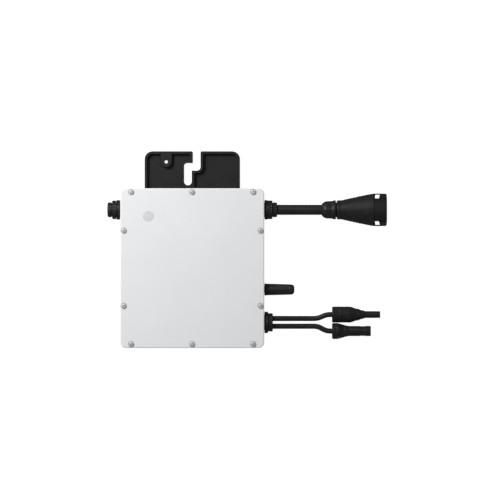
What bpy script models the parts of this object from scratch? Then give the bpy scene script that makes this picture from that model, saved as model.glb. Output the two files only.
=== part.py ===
"""Single-panel solar micro-inverter with its mounting bracket, AC coupler lead and DC module leads.

Metres, +Z up. The case lies on its back: the origin is the centre of the back face, +Z points out of the
cover, +Y towards the mounting bracket and +X towards the cables.
"""

import math

import bmesh
import bpy
from mathutils import Matrix, Vector

GAP = 0.0003  # clearance that touching pieces keep
OVERRUN = 0.001  # how far a cutter runs past the face that it opens
ROUND_STEPS = 20
SMALL_STEPS = 10
ARC_STEPS = 4
BEND_STEPS = 3
SHARP_ANGLE = math.radians(35)

# Case: die-cast tray, flat gasket, sheet cover
CASE_WIDTH = 0.164
CASE_HEIGHT = 0.182
CASE_DEPTH = 0.0295
CASE_CORNER = 0.0065
COVER_THICKNESS = 0.002
COVER_EDGE = 0.0005
GASKET_THICKNESS = 0.0007
GASKET_INSET = 0.0004
WALL = 0.0032
FLOOR = 0.006
BACK_CHAMFER = 0.001
COVER_BOTTOM = CASE_DEPTH - COVER_THICKNESS
GASKET_TOP = COVER_BOTTOM - GAP
GASKET_BOTTOM = GASKET_TOP - GASKET_THICKNESS
TRAY_TOP = GASKET_BOTTOM - GAP
SIDE_X = CASE_WIDTH / 2
SIDE_Y = CASE_HEIGHT / 2

# Ten cover screws, M3 pan head
SCREW_COLUMNS = (-0.0695, 0.0, 0.0695)
SCREW_ROW_Y = 0.0866
SCREW_SIDE_X = 0.078
SCREW_SIDE_ROWS = (0.0427, -0.043)
SCREW_SHANK = 0.0014
SCREW_HEAD = 0.003
SCREW_HEAD_HEIGHT = 0.0017
SCREW_TIP_Z = 0.015
BOSS_RADIUS = 0.0038
RECESS_LENGTH = 0.0034
RECESS_WIDTH = 0.0009
RECESS_DEPTH = 0.001

# Cooling grooves in the back
GROOVE_COUNT = 14
GROOVE_PITCH = 0.009
GROOVE_WIDTH = 0.004
GROOVE_DEPTH = 0.003
GROOVE_LOW_Y = -0.080
GROOVE_HIGH_Y = 0.047

# Mounting bracket, which lies in a recess of the back
BRACKET_HALF = 0.0544
BRACKET_TOP_Y = 0.1333
BRACKET_FOOT_Y = 0.056
BRACKET_WEB = 0.003
BRACKET_RIM = 0.008
BRACKET_CORNER = 0.009
BRACKET_FOOT_CORNER = 0.003
RIM_WIDTH = 0.003
POCKET_CORNER = 0.006
SLOT_WIDTH = 0.0087
SLOT_ENTRY_X = 0.0050
SLOT_SEAT_X = -0.0050
SLOT_STEP_LOW_Y = 0.1113
SLOT_STEP_HIGH_Y = 0.1198
SLOT_SEAT_Y = 0.0945
SLOT_ENTRY_CORNER = 0.004
SLOT_SEAT_CORNER = 0.0034
PAD_X = -0.0297
PAD_Y = 0.1212
PAD_HALF = 0.0062
PAD_HOLE = 0.00185
BRACKET_SCREW_X = 0.044
BRACKET_SCREW_ROWS = (0.064, 0.082)
BRACKET_SCREW_SHANK = 0.0018
BRACKET_SCREW_HEAD = 0.0038
BRACKET_HOLE_TOP = 0.0079

# Status window
LENS_X = -0.0499
LENS_Y = 0.0592
LENS_RADIUS = 0.0055

# Ports on the two sides, all on one height
PORT_Z = 0.015
AC_Y = 0.0665
ANTENNA_Y = -0.0243
DC_Y = -0.0618
LEAD_SPREAD = 0.0044
AC_BARREL = 0.008
DC_BARREL = 0.0087
ANTENNA_BARREL = 0.004
BARREL_REACH = 0.0055
CONTACT_CIRCLE = 0.0031  # radius of the circle that the three AC contacts stand on

# Leads
AC_CABLE_RADIUS = 0.0058
DC_LEAD_RADIUS = 0.003
AC_CABLE_START_X = 0.0765
DC_LEAD_START_X = 0.0770
AC_CABLE_SPACING = 2.0  # diameters from one point of the cable to the next
DC_LEAD_SPACING = 0.5  # closer, for the tight double bend before the connectors
DC_BEND_START_X = 0.1385
DC_BEND_END_X = 0.1575

# AC coupler on the end of its cable
PLUG_NUT_X = 0.1476
PLUG_SHELL_X = 0.1653
PLUG_COLLAR_X = 0.2067
PLUG_END_X = 0.2219
PLUG_COLLAR_RADIUS = 0.015
PLUG_EAR_HALF = 0.01855
PLUG_EAR_THICKNESS = 0.012
PLUG_BELL = 0.0115
PLUG_CABLE_END_X = 0.1820
PLUG_INSERT_X = 0.1823
WINDOW_LOW_X = 0.2084
WINDOW_HIGH_X = 0.2138
WINDOW_INNER = 0.0129
WINDOW_OUTER = 0.0176
WINDOW_SLANT = 0.0005

# DC connectors, lying side by side on the surface that the case lies on
DC_CONNECTOR_X = 0.1593
DC_CONNECTOR_Z = 0.0095
DC_POSITIVE_Y = -0.0529
DC_NEGATIVE_Y = -0.0717

# Circuit board and what stands on it
BOARD_HALF_X = 0.069
BOARD_HALF_Y = 0.081
BOARD_CORNER = 0.003
POST_TOP = 0.009
BOARD_BOTTOM = POST_TOP + GAP
BOARD_TOP = BOARD_BOTTOM + 0.0016
PART_BOTTOM = BOARD_TOP + GAP
POST_RADIUS = 0.005
BOARD_SCREWS = ((-0.062, -0.074), (0.062, 0.050))
BOARD_SCREW_HOLE = 0.0016
PAD_LOW = (-0.056, -0.012)
PAD_HIGH = (0.022, 0.012)


# ---------------------------------------------------------------------------------------------------------
# Helpers


def clear_scene():
    for thing in list(bpy.data.objects):
        bpy.data.objects.remove(thing, do_unlink=True)


def coat(name, colour, roughness, metallic=0.0):
    """A Principled material, made once for each name."""
    found = bpy.data.materials.get(name)
    if found:
        return found
    made = bpy.data.materials.new(name)
    made.use_nodes = True
    shader = made.node_tree.nodes["Principled BSDF"]
    shader.inputs["Base Color"].default_value = (*colour, 1.0)
    shader.inputs["Roughness"].default_value = roughness
    shader.inputs["Metallic"].default_value = metallic
    return made


def cast_black():
    return coat("cast_black", (0.028, 0.028, 0.030), 0.55, 0.2)


def moulded_black():
    return coat("moulded_black", (0.022, 0.022, 0.024), 0.5)


def plate_grey():
    return coat("plate_grey", (0.72, 0.73, 0.75), 0.45, 0.6)


def steel():
    return coat("steel", (0.55, 0.55, 0.56), 0.3, 1.0)


def from_mesh(name, work, material):
    """Turns finished bmesh work into an object."""
    bmesh.ops.recalc_face_normals(work, faces=work.faces)
    mesh = bpy.data.meshes.new(name)
    work.to_mesh(mesh)
    work.free()
    return from_data(name, mesh, material)


def from_data(name, mesh, material):
    made = bpy.data.objects.new(name, mesh)
    bpy.context.scene.collection.objects.link(made)
    mesh.shade_smooth()
    mesh.set_sharp_from_angle(angle=SHARP_ANGLE)
    if material and not mesh.materials:
        mesh.materials.append(material)
    return made


def rounded(corners, steps=ARC_STEPS):
    """Outline through corners (x, y, fillet radius), each fillet an arc tangent to both of its sides."""
    outline = []
    for index, (x, y, radius) in enumerate(corners):
        here = Vector((x, y))
        if radius == 0:
            outline.append((x, y))
            continue
        back = (Vector(corners[index - 1][:2]) - here).normalized()
        ahead = (Vector(corners[(index + 1) % len(corners)][:2]) - here).normalized()
        half = back.angle(ahead) / 2
        centre = here + (back + ahead).normalized() * radius / math.sin(half)
        first = here + back * radius / math.tan(half) - centre
        last = here + ahead * radius / math.tan(half) - centre
        start = math.atan2(first.y, first.x)
        sweep = math.atan2(last.y, last.x) - start
        sweep -= math.tau * round(sweep / math.tau)
        for step in range(steps + 1):
            angle = start + sweep * step / steps
            outline.append((centre.x + radius * math.cos(angle), centre.y + radius * math.sin(angle)))
    return outline


def rectangle(low_x, low_y, high_x, high_y, radius=0.0, steps=ARC_STEPS):
    corners = ((low_x, low_y), (high_x, low_y), (high_x, high_y), (low_x, high_y))
    return rounded([(x, y, radius) for x, y in corners], steps)


def add_prism(work, outline, low, high):
    """Adds an outline's extrusion along Z to a bmesh, and returns the rim edges of its two ends."""
    floor = work.faces.new([work.verts.new((x, y, low)) for x, y in outline])
    grown = bmesh.ops.extrude_face_region(work, geom=[floor], use_keep_orig=True)["geom"]
    lifted = [item for item in grown if isinstance(item, bmesh.types.BMVert)]
    bmesh.ops.translate(work, verts=lifted, vec=(0, 0, high - low))
    top = [item for item in grown if isinstance(item, bmesh.types.BMFace)]
    return list(floor.edges), [edge for face in top for edge in face.edges]


def prism(name, outline, low, high, material=None, bevel_low=0.0, bevel_high=0.0):
    work = bmesh.new()
    low_rim, high_rim = add_prism(work, outline, low, high)
    bmesh.ops.recalc_face_normals(work, faces=work.faces)
    for rim, width in ((low_rim, bevel_low), (high_rim, bevel_high)):
        if width:
            bmesh.ops.bevel(work, geom=rim, offset=width, segments=1, affect="EDGES")
    return from_mesh(name, work, material)


def prisms(name, shapes, material=None):
    """Several separate extrusions (outline, low, high) in one object, for use as a cutter."""
    work = bmesh.new()
    for outline, low, high in shapes:
        add_prism(work, outline, low, high)
    return from_mesh(name, work, material)


def circle_turns(steps):
    """Even angles round a full circle."""
    return [math.tau * step / steps for step in range(steps)]


def circle(x, y, radius, steps=SMALL_STEPS):
    return [(x + radius * math.cos(angle), y + radius * math.sin(angle)) for angle in circle_turns(steps)]


def columns(name, places, radius, low, high, steps=SMALL_STEPS):
    return prisms(name, [(circle(x, y, radius, steps), low, high) for x, y in places])


def turned(name, profile, material=None, ring=False, steps=ROUND_STEPS):
    """Solid of revolution about local Z from (height, radius) points. A ring's profile closes on itself."""
    work = bmesh.new()
    points = [work.verts.new((radius, 0, height)) for height, radius in profile]
    ends = points[1:] + points[:1] if ring else points[1:]
    edges = [work.edges.new(pair) for pair in zip(points, ends)]
    bmesh.ops.spin(
        work,
        geom=points + edges,
        axis=(0, 0, 1),
        cent=(0, 0, 0),
        angle=math.tau,
        steps=steps,
        use_merge=True,
    )
    if not ring:
        bmesh.ops.holes_fill(work, edges=work.edges, sides=0)
    return from_mesh(name, work, material)


def along_x(thing, x, y, z, facing=1):
    """Lays a turned piece's local Z along +X, or along -X when facing is -1."""
    thing.location = (x, y, z)
    thing.rotation_euler = (0, facing * math.pi / 2, 0)
    return thing


def lofted(name, stations, y, z, material=None, steps=ROUND_STEPS):
    """Solid through ellipses (x, half width in Y, half height in Z) on an axis along X."""
    work = bmesh.new()
    rings = []
    for x, wide, tall in stations:
        ring = [
            work.verts.new((x, y + wide * math.cos(angle), z + tall * math.sin(angle)))
            for angle in circle_turns(steps)
        ]
        rings.append([work.edges.new((ring[i - 1], ring[i])) for i in range(steps)])
    for first, second in zip(rings, rings[1:]):
        bmesh.ops.bridge_loops(work, edges=first + second)
    bmesh.ops.holes_fill(work, edges=work.edges, sides=0)
    return from_mesh(name, work, material)


def combine(target, other, operation):
    modifier = target.modifiers.new(other.name, "BOOLEAN")
    modifier.operation = operation
    modifier.solver = "EXACT"
    modifier.object = other
    other.hide_render = True
    other.display_type = "WIRE"
    return target


def cut(target, *cutters):
    for cutter in cutters:
        combine(target, cutter, "DIFFERENCE")
    return target


def join(target, *others):
    for other in others:
        combine(target, other, "UNION")
    return target


def smooth_route(route, spacing):
    """Even points on the centripetal curve through a cord's route points."""
    fine = []
    padded = [route[0] * 2 - route[1], *route, route[-1] * 2 - route[-2]]
    for before, start, end, after in zip(padded, padded[1:], padded[2:], padded[3:]):
        knots = [0.0]
        for left, right in ((before, start), (start, end), (end, after)):
            knots.append(knots[-1] + math.sqrt((right - left).length))
        t0, t1, t2, t3 = knots
        for step in range(20):
            t = t1 + (t2 - t1) * step / 20
            a1 = before * ((t1 - t) / (t1 - t0)) + start * ((t - t0) / (t1 - t0))
            a2 = start * ((t2 - t) / (t2 - t1)) + end * ((t - t1) / (t2 - t1))
            a3 = end * ((t3 - t) / (t3 - t2)) + after * ((t - t2) / (t3 - t2))
            b1 = a1 * ((t2 - t) / (t2 - t0)) + a2 * ((t - t0) / (t2 - t0))
            b2 = a2 * ((t3 - t) / (t3 - t1)) + a3 * ((t - t1) / (t3 - t1))
            fine.append(b1 * ((t2 - t) / (t2 - t1)) + b2 * ((t - t1) / (t2 - t1)))
    fine.append(route[-1])
    lengths = [0.0]
    for left, right in zip(fine, fine[1:]):
        lengths.append(lengths[-1] + (right - left).length)
    count = max(2, round(lengths[-1] / spacing))
    even = []
    place = 0
    for step in range(count + 1):
        wanted = lengths[-1] * step / count
        while place < len(fine) - 2 and lengths[place + 1] < wanted:
            place += 1
        share = (wanted - lengths[place]) / (lengths[place + 1] - lengths[place])
        even.append(fine[place].lerp(fine[place + 1], share))
    return even


def cord(name, route, radius, spacing, material):
    points = smooth_route([Vector(point) for point in route], spacing * 2 * radius)
    curve = bpy.data.curves.new(name, "CURVE")
    curve.dimensions = "3D"
    curve.bevel_depth = radius
    curve.bevel_resolution = 3
    curve.use_fill_caps = True
    spline = curve.splines.new("POLY")
    spline.points.add(len(points) - 1)
    for target, point in zip(spline.points, points):
        target.co = (*point, 1.0)
    made = bpy.data.objects.new(name, curve)
    bpy.context.scene.collection.objects.link(made)
    curve.materials.append(material)
    return made


# ---------------------------------------------------------------------------------------------------------
# Case


def case_outline(inset=0.0):
    corner = CASE_CORNER - inset
    return rectangle(inset - SIDE_X, inset - SIDE_Y, SIDE_X - inset, SIDE_Y - inset, corner)


def cover_screw_places():
    places = [(x, side * SCREW_ROW_Y) for side in (1, -1) for x in SCREW_COLUMNS]
    return places + [(side * SCREW_SIDE_X, y) for side in (-1, 1) for y in SCREW_SIDE_ROWS]


def bracket_screw_places():
    return [(side * BRACKET_SCREW_X, y) for side in (-1, 1) for y in BRACKET_SCREW_ROWS]


def cavity_core(name, low, high):
    """The room inside the walls, which leaves the screw bosses standing."""
    core = prism(name, case_outline(WALL), low, high)
    bosses = columns(name + "_bosses", cover_screw_places(), BOSS_RADIUS, low - OVERRUN, high + OVERRUN)
    return cut(core, bosses)


def groove_shapes():
    shapes = []
    for index in range(GROOVE_COUNT):
        x = (index - (GROOVE_COUNT - 1) / 2) * GROOVE_PITCH
        half = GROOVE_WIDTH / 2
        outline = rectangle(x - half, GROOVE_LOW_Y, x + half, GROOVE_HIGH_Y, half * 0.95, 2)
        shapes.append((outline, -OVERRUN, GROOVE_DEPTH))
    return shapes


def port_holes():
    """Round holes through the two side walls, along X."""
    work = bmesh.new()
    ports = (
        (-1, AC_Y, AC_BARREL),
        (1, AC_Y, AC_BARREL),
        (1, ANTENNA_Y, ANTENNA_BARREL),
        (1, DC_Y, DC_BARREL),
    )
    for side, y, barrel in ports:
        place = Matrix.Translation((side * (SIDE_X - WALL / 2), y, PORT_Z))
        bmesh.ops.create_cone(
            work,
            cap_ends=True,
            segments=ROUND_STEPS,
            radius1=barrel + GAP,
            radius2=barrel + GAP,
            depth=WALL + 4 * OVERRUN,
            matrix=place @ Matrix.Rotation(math.pi / 2, 4, "Y"),
        )
    return from_mesh("port_holes", work, None)


def make_tray():
    tray = prism("base_tray", case_outline(), 0, TRAY_TOP, cast_black(), bevel_low=BACK_CHAMFER)
    core = cavity_core("tray_core", FLOOR, TRAY_TOP + OVERRUN)
    under_board = [(circle(x, y, POST_RADIUS), FLOOR - OVERRUN, POST_TOP) for x, y in bracket_screw_places()]
    under_board += [(circle(x, y, POST_RADIUS), FLOOR - OVERRUN, POST_TOP) for x, y in BOARD_SCREWS]
    cut(core, prisms("tray_posts", under_board))
    beside = BRACKET_HALF + GAP
    foot = BRACKET_FOOT_Y - GAP
    open_end = SIDE_Y + OVERRUN
    recess = rounded(
        [
            (-beside, foot, BRACKET_FOOT_CORNER),
            (beside, foot, BRACKET_FOOT_CORNER),
            (beside, open_end, 0),
            (-beside, open_end, 0),
        ]
    )
    screw_hole = SCREW_SHANK + GAP
    bracket_hole = BRACKET_SCREW_SHANK + GAP
    cut(
        tray,
        core,
        prisms("cooling_grooves", groove_shapes()),
        prism("bracket_recess", recess, -OVERRUN, BRACKET_WEB + GAP),
        port_holes(),
        columns("cover_screw_holes", cover_screw_places(), screw_hole, SCREW_TIP_Z - GAP, TRAY_TOP + OVERRUN),
        columns("board_screw_holes", BOARD_SCREWS, BOARD_SCREW_HOLE, 0.0045, POST_TOP + OVERRUN),
        columns("bracket_screw_holes", bracket_screw_places(), bracket_hole, -OVERRUN, BRACKET_HOLE_TOP),
    )
    return tray


def make_gasket():
    gasket = prism(
        "cover_gasket",
        case_outline(GASKET_INSET),
        GASKET_BOTTOM,
        GASKET_TOP,
        coat("gasket_black", (0.03, 0.03, 0.03), 0.8),
    )
    core = cavity_core("gasket_core", GASKET_BOTTOM - OVERRUN, GASKET_TOP + OVERRUN)
    holes = columns(
        "gasket_screw_holes",
        cover_screw_places(),
        SCREW_SHANK + 2 * GAP,
        GASKET_BOTTOM - OVERRUN,
        GASKET_TOP + OVERRUN,
    )
    return cut(gasket, core, holes)


def make_cover():
    grey = plate_grey()
    cover = prism("cover_plate", case_outline(), COVER_BOTTOM, CASE_DEPTH, grey, bevel_high=COVER_EDGE)
    low = COVER_BOTTOM - OVERRUN
    high = CASE_DEPTH + OVERRUN
    holes = columns("cover_holes", cover_screw_places(), SCREW_SHANK + GAP, low, high, 12)
    window = columns("cover_window", [(LENS_X, LENS_Y)], LENS_RADIUS + GAP, low, high, ROUND_STEPS)
    return cut(cover, holes, window)


def make_lens():
    flange = LENS_RADIUS + 0.002
    profile = [(-0.0012, flange), (0.0, flange), (0.0, LENS_RADIUS), (CASE_DEPTH - GASKET_TOP, LENS_RADIUS)]
    lens = turned("status_lens", profile, coat("lens_grey", (0.60, 0.61, 0.63), 0.35))
    lens.location = (LENS_X, LENS_Y, GASKET_TOP)
    return lens


def make_screws():
    """Cross-recess pan head screws, all from one baked mesh."""
    under_head = CASE_DEPTH + GAP
    shank = under_head - SCREW_TIP_Z
    profile = [
        (-shank, SCREW_SHANK * 0.6),
        (-shank + 0.001, SCREW_SHANK),
        (0.0, SCREW_SHANK),
        (0.0, SCREW_HEAD),
        (SCREW_HEAD_HEIGHT * 0.45, SCREW_HEAD),
        (SCREW_HEAD_HEIGHT * 0.8, SCREW_HEAD * 0.82),
        (SCREW_HEAD_HEIGHT, SCREW_HEAD * 0.5),
    ]
    pattern = turned("screw_pattern", profile, steel(), steps=SMALL_STEPS)
    half = RECESS_LENGTH / 2
    arm = RECESS_WIDTH / 2
    cross = [
        (half, -arm),
        (half, arm),
        (arm, arm),
        (arm, half),
        (-arm, half),
        (-arm, arm),
        (-half, arm),
        (-half, -arm),
        (-arm, -arm),
        (-arm, -half),
        (arm, -half),
        (arm, -arm),
    ]
    bottom = SCREW_HEAD_HEIGHT - RECESS_DEPTH
    cut(pattern, prism("screw_recess", cross, bottom, SCREW_HEAD_HEIGHT + OVERRUN))
    pattern.hide_render = True
    bpy.context.view_layer.update()
    graph = bpy.context.evaluated_depsgraph_get()
    mesh = bpy.data.meshes.new_from_object(pattern.evaluated_get(graph))
    screws = []
    for number, (x, y) in enumerate(cover_screw_places(), start=1):
        screw = from_data(f"cover_screw_{number:02d}", mesh, steel())
        screw.location = (x, y, under_head)
        screws.append(screw)
    bpy.data.objects.remove(pattern)
    return screws


# ---------------------------------------------------------------------------------------------------------
# Mounting bracket


def bracket_outline():
    entry_low = SLOT_ENTRY_X - SLOT_WIDTH / 2
    entry_high = SLOT_ENTRY_X + SLOT_WIDTH / 2
    seat_low = SLOT_SEAT_X - SLOT_WIDTH / 2
    seat_high = SLOT_SEAT_X + SLOT_WIDTH / 2
    seat_round = SLOT_WIDTH / 2 - 0.00005
    lip = 0.0006
    return rounded(
        [
            (-BRACKET_HALF, BRACKET_FOOT_Y, BRACKET_FOOT_CORNER),
            (BRACKET_HALF, BRACKET_FOOT_Y, BRACKET_FOOT_CORNER),
            (BRACKET_HALF, BRACKET_TOP_Y, BRACKET_CORNER),
            (entry_high, BRACKET_TOP_Y, lip),
            (entry_high, SLOT_STEP_LOW_Y, SLOT_ENTRY_CORNER),
            (seat_high, SLOT_STEP_LOW_Y, lip),
            (seat_high, SLOT_SEAT_Y, seat_round),
            (seat_low, SLOT_SEAT_Y, seat_round),
            (seat_low, SLOT_STEP_HIGH_Y, SLOT_SEAT_CORNER),
            (entry_low, SLOT_STEP_HIGH_Y, lip),
            (entry_low, BRACKET_TOP_Y, lip),
            (-BRACKET_HALF, BRACKET_TOP_Y, BRACKET_CORNER),
        ]
    )


def left_pocket():
    """Floor left of the slot, with the rim all round it and a U-shaped pad hanging from the top rim."""
    inner = BRACKET_HALF - RIM_WIDTH
    top = BRACKET_TOP_Y - RIM_WIDTH
    beside_seat = SLOT_SEAT_X - SLOT_WIDTH / 2 - RIM_WIDTH
    beside_entry = SLOT_ENTRY_X - SLOT_WIDTH / 2 - RIM_WIDTH
    over_step = SLOT_STEP_HIGH_Y + RIM_WIDTH
    pad_low = PAD_Y - PAD_HALF
    pad_round = PAD_HALF - 0.00005
    return rounded(
        [
            (-inner, SIDE_Y - OVERRUN, 0),
            (beside_seat, SIDE_Y - OVERRUN, 0),
            (beside_seat, over_step, SLOT_SEAT_CORNER + 0.002),
            (beside_entry, over_step, 0.001),
            (beside_entry, top, 0.0015),
            (PAD_X + PAD_HALF, top, 0.001),
            (PAD_X + PAD_HALF, pad_low, pad_round),
            (PAD_X - PAD_HALF, pad_low, pad_round),
            (PAD_X - PAD_HALF, top, 0.001),
            (-inner, top, POCKET_CORNER),
        ]
    )


def right_pocket():
    """Floor right of the slot: its rim follows the entry channel, its step and the seat."""
    inner = BRACKET_HALF - RIM_WIDTH
    top = BRACKET_TOP_Y - RIM_WIDTH
    beside_entry = SLOT_ENTRY_X + SLOT_WIDTH / 2 + RIM_WIDTH
    beside_seat = SLOT_SEAT_X + SLOT_WIDTH / 2 + RIM_WIDTH
    under_step = SLOT_STEP_LOW_Y - RIM_WIDTH
    return rounded(
        [
            (beside_seat, SIDE_Y - OVERRUN, 0),
            (inner, SIDE_Y - OVERRUN, 0),
            (inner, top, POCKET_CORNER),
            (beside_entry, top, 0.0015),
            (beside_entry, under_step, SLOT_ENTRY_CORNER + RIM_WIDTH),
            (beside_seat, under_step, 0.001),
        ]
    )


def countersink(name, x, y):
    mouth = BRACKET_SCREW_HEAD + 2 * GAP
    shank = BRACKET_SCREW_SHANK + GAP
    profile = [(-OVERRUN, mouth), (0.0007, mouth), (0.0027, shank), (BRACKET_WEB + OVERRUN, shank)]
    made = turned(name, profile, steps=SMALL_STEPS)
    made.location = (x, y, 0)
    return made


def make_bracket():
    bracket = prism("mounting_bracket", bracket_outline(), 0, BRACKET_RIM, cast_black())
    above = BRACKET_RIM + OVERRUN
    beside = BRACKET_HALF + OVERRUN
    tongue_top = rectangle(-beside, BRACKET_FOOT_Y - OVERRUN, beside, SIDE_Y + GAP)
    cut(
        bracket,
        prism("tongue_cutter", tongue_top, BRACKET_WEB, above),
        prism("left_pocket", left_pocket(), BRACKET_WEB, above),
        prism("right_pocket", right_pocket(), BRACKET_WEB, above),
        columns("pad_hole", [(PAD_X, PAD_Y)], PAD_HOLE, -OVERRUN, above),
    )
    for number, (x, y) in enumerate(bracket_screw_places(), start=1):
        cut(bracket, countersink(f"countersink_{number}", x, y))
    return bracket


def make_bracket_screws():
    """Countersunk screws, driven from the back through the bracket's foot into the tray."""
    profile = [
        (GAP, BRACKET_SCREW_HEAD),
        (0.0006, BRACKET_SCREW_HEAD),
        (0.0024, BRACKET_SCREW_SHANK),
        (0.0066, BRACKET_SCREW_SHANK),
        (0.0075, BRACKET_SCREW_SHANK * 0.6),
    ]
    for number, (x, y) in enumerate(bracket_screw_places(), start=1):
        screw = turned(f"bracket_screw_{number}", profile, steel(), steps=SMALL_STEPS)
        screw.location = (x, y, 0)


# ---------------------------------------------------------------------------------------------------------
# Electronics


def make_board():
    green = coat("board_green", (0.02, 0.12, 0.05), 0.45)
    outline = rectangle(-BOARD_HALF_X, -BOARD_HALF_Y, BOARD_HALF_X, BOARD_HALF_Y, BOARD_CORNER, 2)
    board = prism("main_board", outline, BOARD_BOTTOM, BOARD_TOP, green)
    clearance = BOARD_SCREW_HOLE + 0.0002
    cut(board, columns("board_holes", BOARD_SCREWS, clearance, BOARD_BOTTOM - OVERRUN, BOARD_TOP + OVERRUN))
    profile = [
        (0.0055, 0.0009),
        (0.006, 0.0013),
        (PART_BOTTOM, 0.0013),
        (PART_BOTTOM, 0.0027),
        (0.0129, 0.0024),
    ]
    for number, (x, y) in enumerate(BOARD_SCREWS, start=1):
        screw = turned(f"board_screw_{number}", profile, steel(), steps=SMALL_STEPS)
        screw.location = (x, y, 0)
    pad = rectangle(*PAD_LOW, *PAD_HIGH, 0.001, 1)
    prism("thermal_pad", pad, FLOOR + GAP, BOARD_BOTTOM - GAP, coat("pad_grey", (0.35, 0.36, 0.38), 0.8))


def make_transformer(x=-0.008, y=-0.042):
    """A double-E core lying on its side legs, with the winding round its centre leg."""
    half_width = 0.019
    half_depth = 0.010
    height = 0.0146
    leg = 0.0046
    centre_leg = 0.005
    yoke = 0.003
    core = prism(
        "transformer_core",
        rectangle(x - half_width, y - half_depth, x + half_width, y + half_depth),
        PART_BOTTOM,
        PART_BOTTOM + height,
        coat("ferrite", (0.05, 0.05, 0.055), 0.6),
    )
    deep = half_depth + OVERRUN
    windows = [
        (rectangle(x + low, y - deep, x + high, y + deep), PART_BOTTOM + yoke, PART_BOTTOM + height - yoke)
        for low, high in ((centre_leg, half_width - leg), (leg - half_width, -centre_leg))
    ]
    cut(core, prisms("core_windows", windows))
    low = PART_BOTTOM + yoke + GAP
    high = PART_BOTTOM + height - yoke - GAP
    out_x = half_width - leg - GAP
    out_y = half_depth + 0.0085
    tape = coat("winding_tape", (0.55, 0.33, 0.05), 0.5)
    outer = rectangle(x - out_x, y - out_y, x + out_x, y + out_y, 0.004)
    winding = prism("transformer_winding", outer, low, high, tape)
    in_x = centre_leg + GAP
    in_y = half_depth + GAP
    inner = rectangle(x - in_x, y - in_y, x + in_x, y + in_y, 0.0, 1)
    cut(winding, prism("winding_bore", inner, low - OVERRUN, high + OVERRUN))


def make_choke(x=-0.038, y=0.046):
    ring_radius = 0.0105
    wire_radius = 0.0052
    turns = circle_turns(SMALL_STEPS)
    profile = [(wire_radius * math.sin(turn), ring_radius + wire_radius * math.cos(turn)) for turn in turns]
    copper = coat("enamelled_copper", (0.45, 0.17, 0.06), 0.35, 0.6)
    choke = turned("line_choke", profile, copper, ring=True, steps=24)
    choke.location = (x, y, PART_BOTTOM + wire_radius)


def make_capacitors():
    sleeve = coat("capacitor_sleeve", (0.02, 0.02, 0.05), 0.35)
    profile = [(0, 0.0060), (0.0006, 0.0063), (0.0136, 0.0063), (0.0142, 0.0058)]
    for number, y in enumerate((-0.070, -0.055, -0.040), start=1):
        capacitor = turned(f"bulk_capacitor_{number}", profile, sleeve, steps=20)
        capacitor.location = (0.046, y, PART_BOTTOM)
    box = rectangle(-0.005, 0.036, 0.021, 0.047, 0.001, 1)
    yellow = coat("film_yellow", (0.6, 0.42, 0.03), 0.4)
    prism("film_capacitor", box, PART_BOTTOM, PART_BOTTOM + 0.0138, yellow, bevel_high=0.0006)


def make_relay(x=0.038, y=0.060):
    """Grid relay: frame and coil in one piece, an armature that tips on the yoke's edge, and a dust cover."""
    base_top = PART_BOTTOM + 0.0015
    yoke_top = PART_BOTTOM + 0.0096
    brown = coat("relay_bobbin", (0.25, 0.12, 0.05), 0.5)
    base = rectangle(x - 0.0095, y - 0.0064, x + 0.0095, y + 0.0064)
    frame = prism("relay_frame", base, PART_BOTTOM, base_top, brown)
    yoke = rectangle(x - 0.0085, y - 0.0050, x - 0.0070, y + 0.0050)
    coil = circle(x + 0.002, y, 0.0046, 16)
    join(
        frame,
        prism("relay_yoke", yoke, PART_BOTTOM + 0.0005, yoke_top),
        prism("relay_coil", coil, PART_BOTTOM + 0.0005, yoke_top - 0.0009),
    )
    plate = rectangle(-0.0012, -0.0048, 0.0145, 0.0048)
    armature = prism("relay_armature", plate, GAP, GAP + 0.0011, steel())
    armature.location = (x - 0.0078, y, yoke_top + GAP)
    cover_low = PART_BOTTOM
    cover_high = PART_BOTTOM + 0.0145
    wall = 0.0008
    half_x = 0.0107
    half_y = 0.0076
    shell = rectangle(x - half_x, y - half_y, x + half_x, y + half_y, 0.001, 1)
    hollow = rectangle(x - half_x + wall, y - half_y + wall, x + half_x - wall, y + half_y - wall)
    cover = prism("relay_cover", shell, cover_low, cover_high, coat("relay_blue", (0.03, 0.09, 0.25), 0.4))
    cut(cover, prism("relay_room", hollow, cover_low - OVERRUN, cover_high - wall))


def make_chips():
    epoxy = coat("chip_epoxy", (0.02, 0.02, 0.02), 0.5)
    half = 0.0075
    for number in range(4):
        x = -0.047 + number * 0.020
        body = rectangle(x - half, -0.0085, x + half, 0.0025)
        switch = prism(f"power_switch_{number + 1}", body, PART_BOTTOM, PART_BOTTOM + 0.0045, epoxy)
        ledge = rectangle(x - half, 0.0, x + half, 0.0085)
        tab = prism(f"tab_{number + 1}", ledge, PART_BOTTOM, PART_BOTTOM + 0.0013)
        hole = columns(f"tab_hole_{number + 1}", [(x, 0.0056)], 0.0018, 0.010, 0.015)
        cut(join(switch, tab), hole)
    chip = rectangle(0.028, -0.010, 0.040, 0.002, 0.0004, 1)
    prism("control_chip", chip, PART_BOTTOM, PART_BOTTOM + 0.0014, epoxy, bevel_high=0.0002)
    can = rectangle(0.046, -0.026, 0.062, -0.012, 0.0006, 1)
    tin = coat("radio_can", (0.6, 0.6, 0.58), 0.35, 1.0)
    radio = prism("radio_module", can, PART_BOTTOM, PART_BOTTOM + 0.0028, tin, bevel_high=0.0004)
    carrier = rectangle(0.0445, -0.0275, 0.0635, -0.006)
    join(radio, prism("radio_carrier", carrier, PART_BOTTOM, PART_BOTTOM + 0.0010))


# ---------------------------------------------------------------------------------------------------------
# AC side


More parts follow.
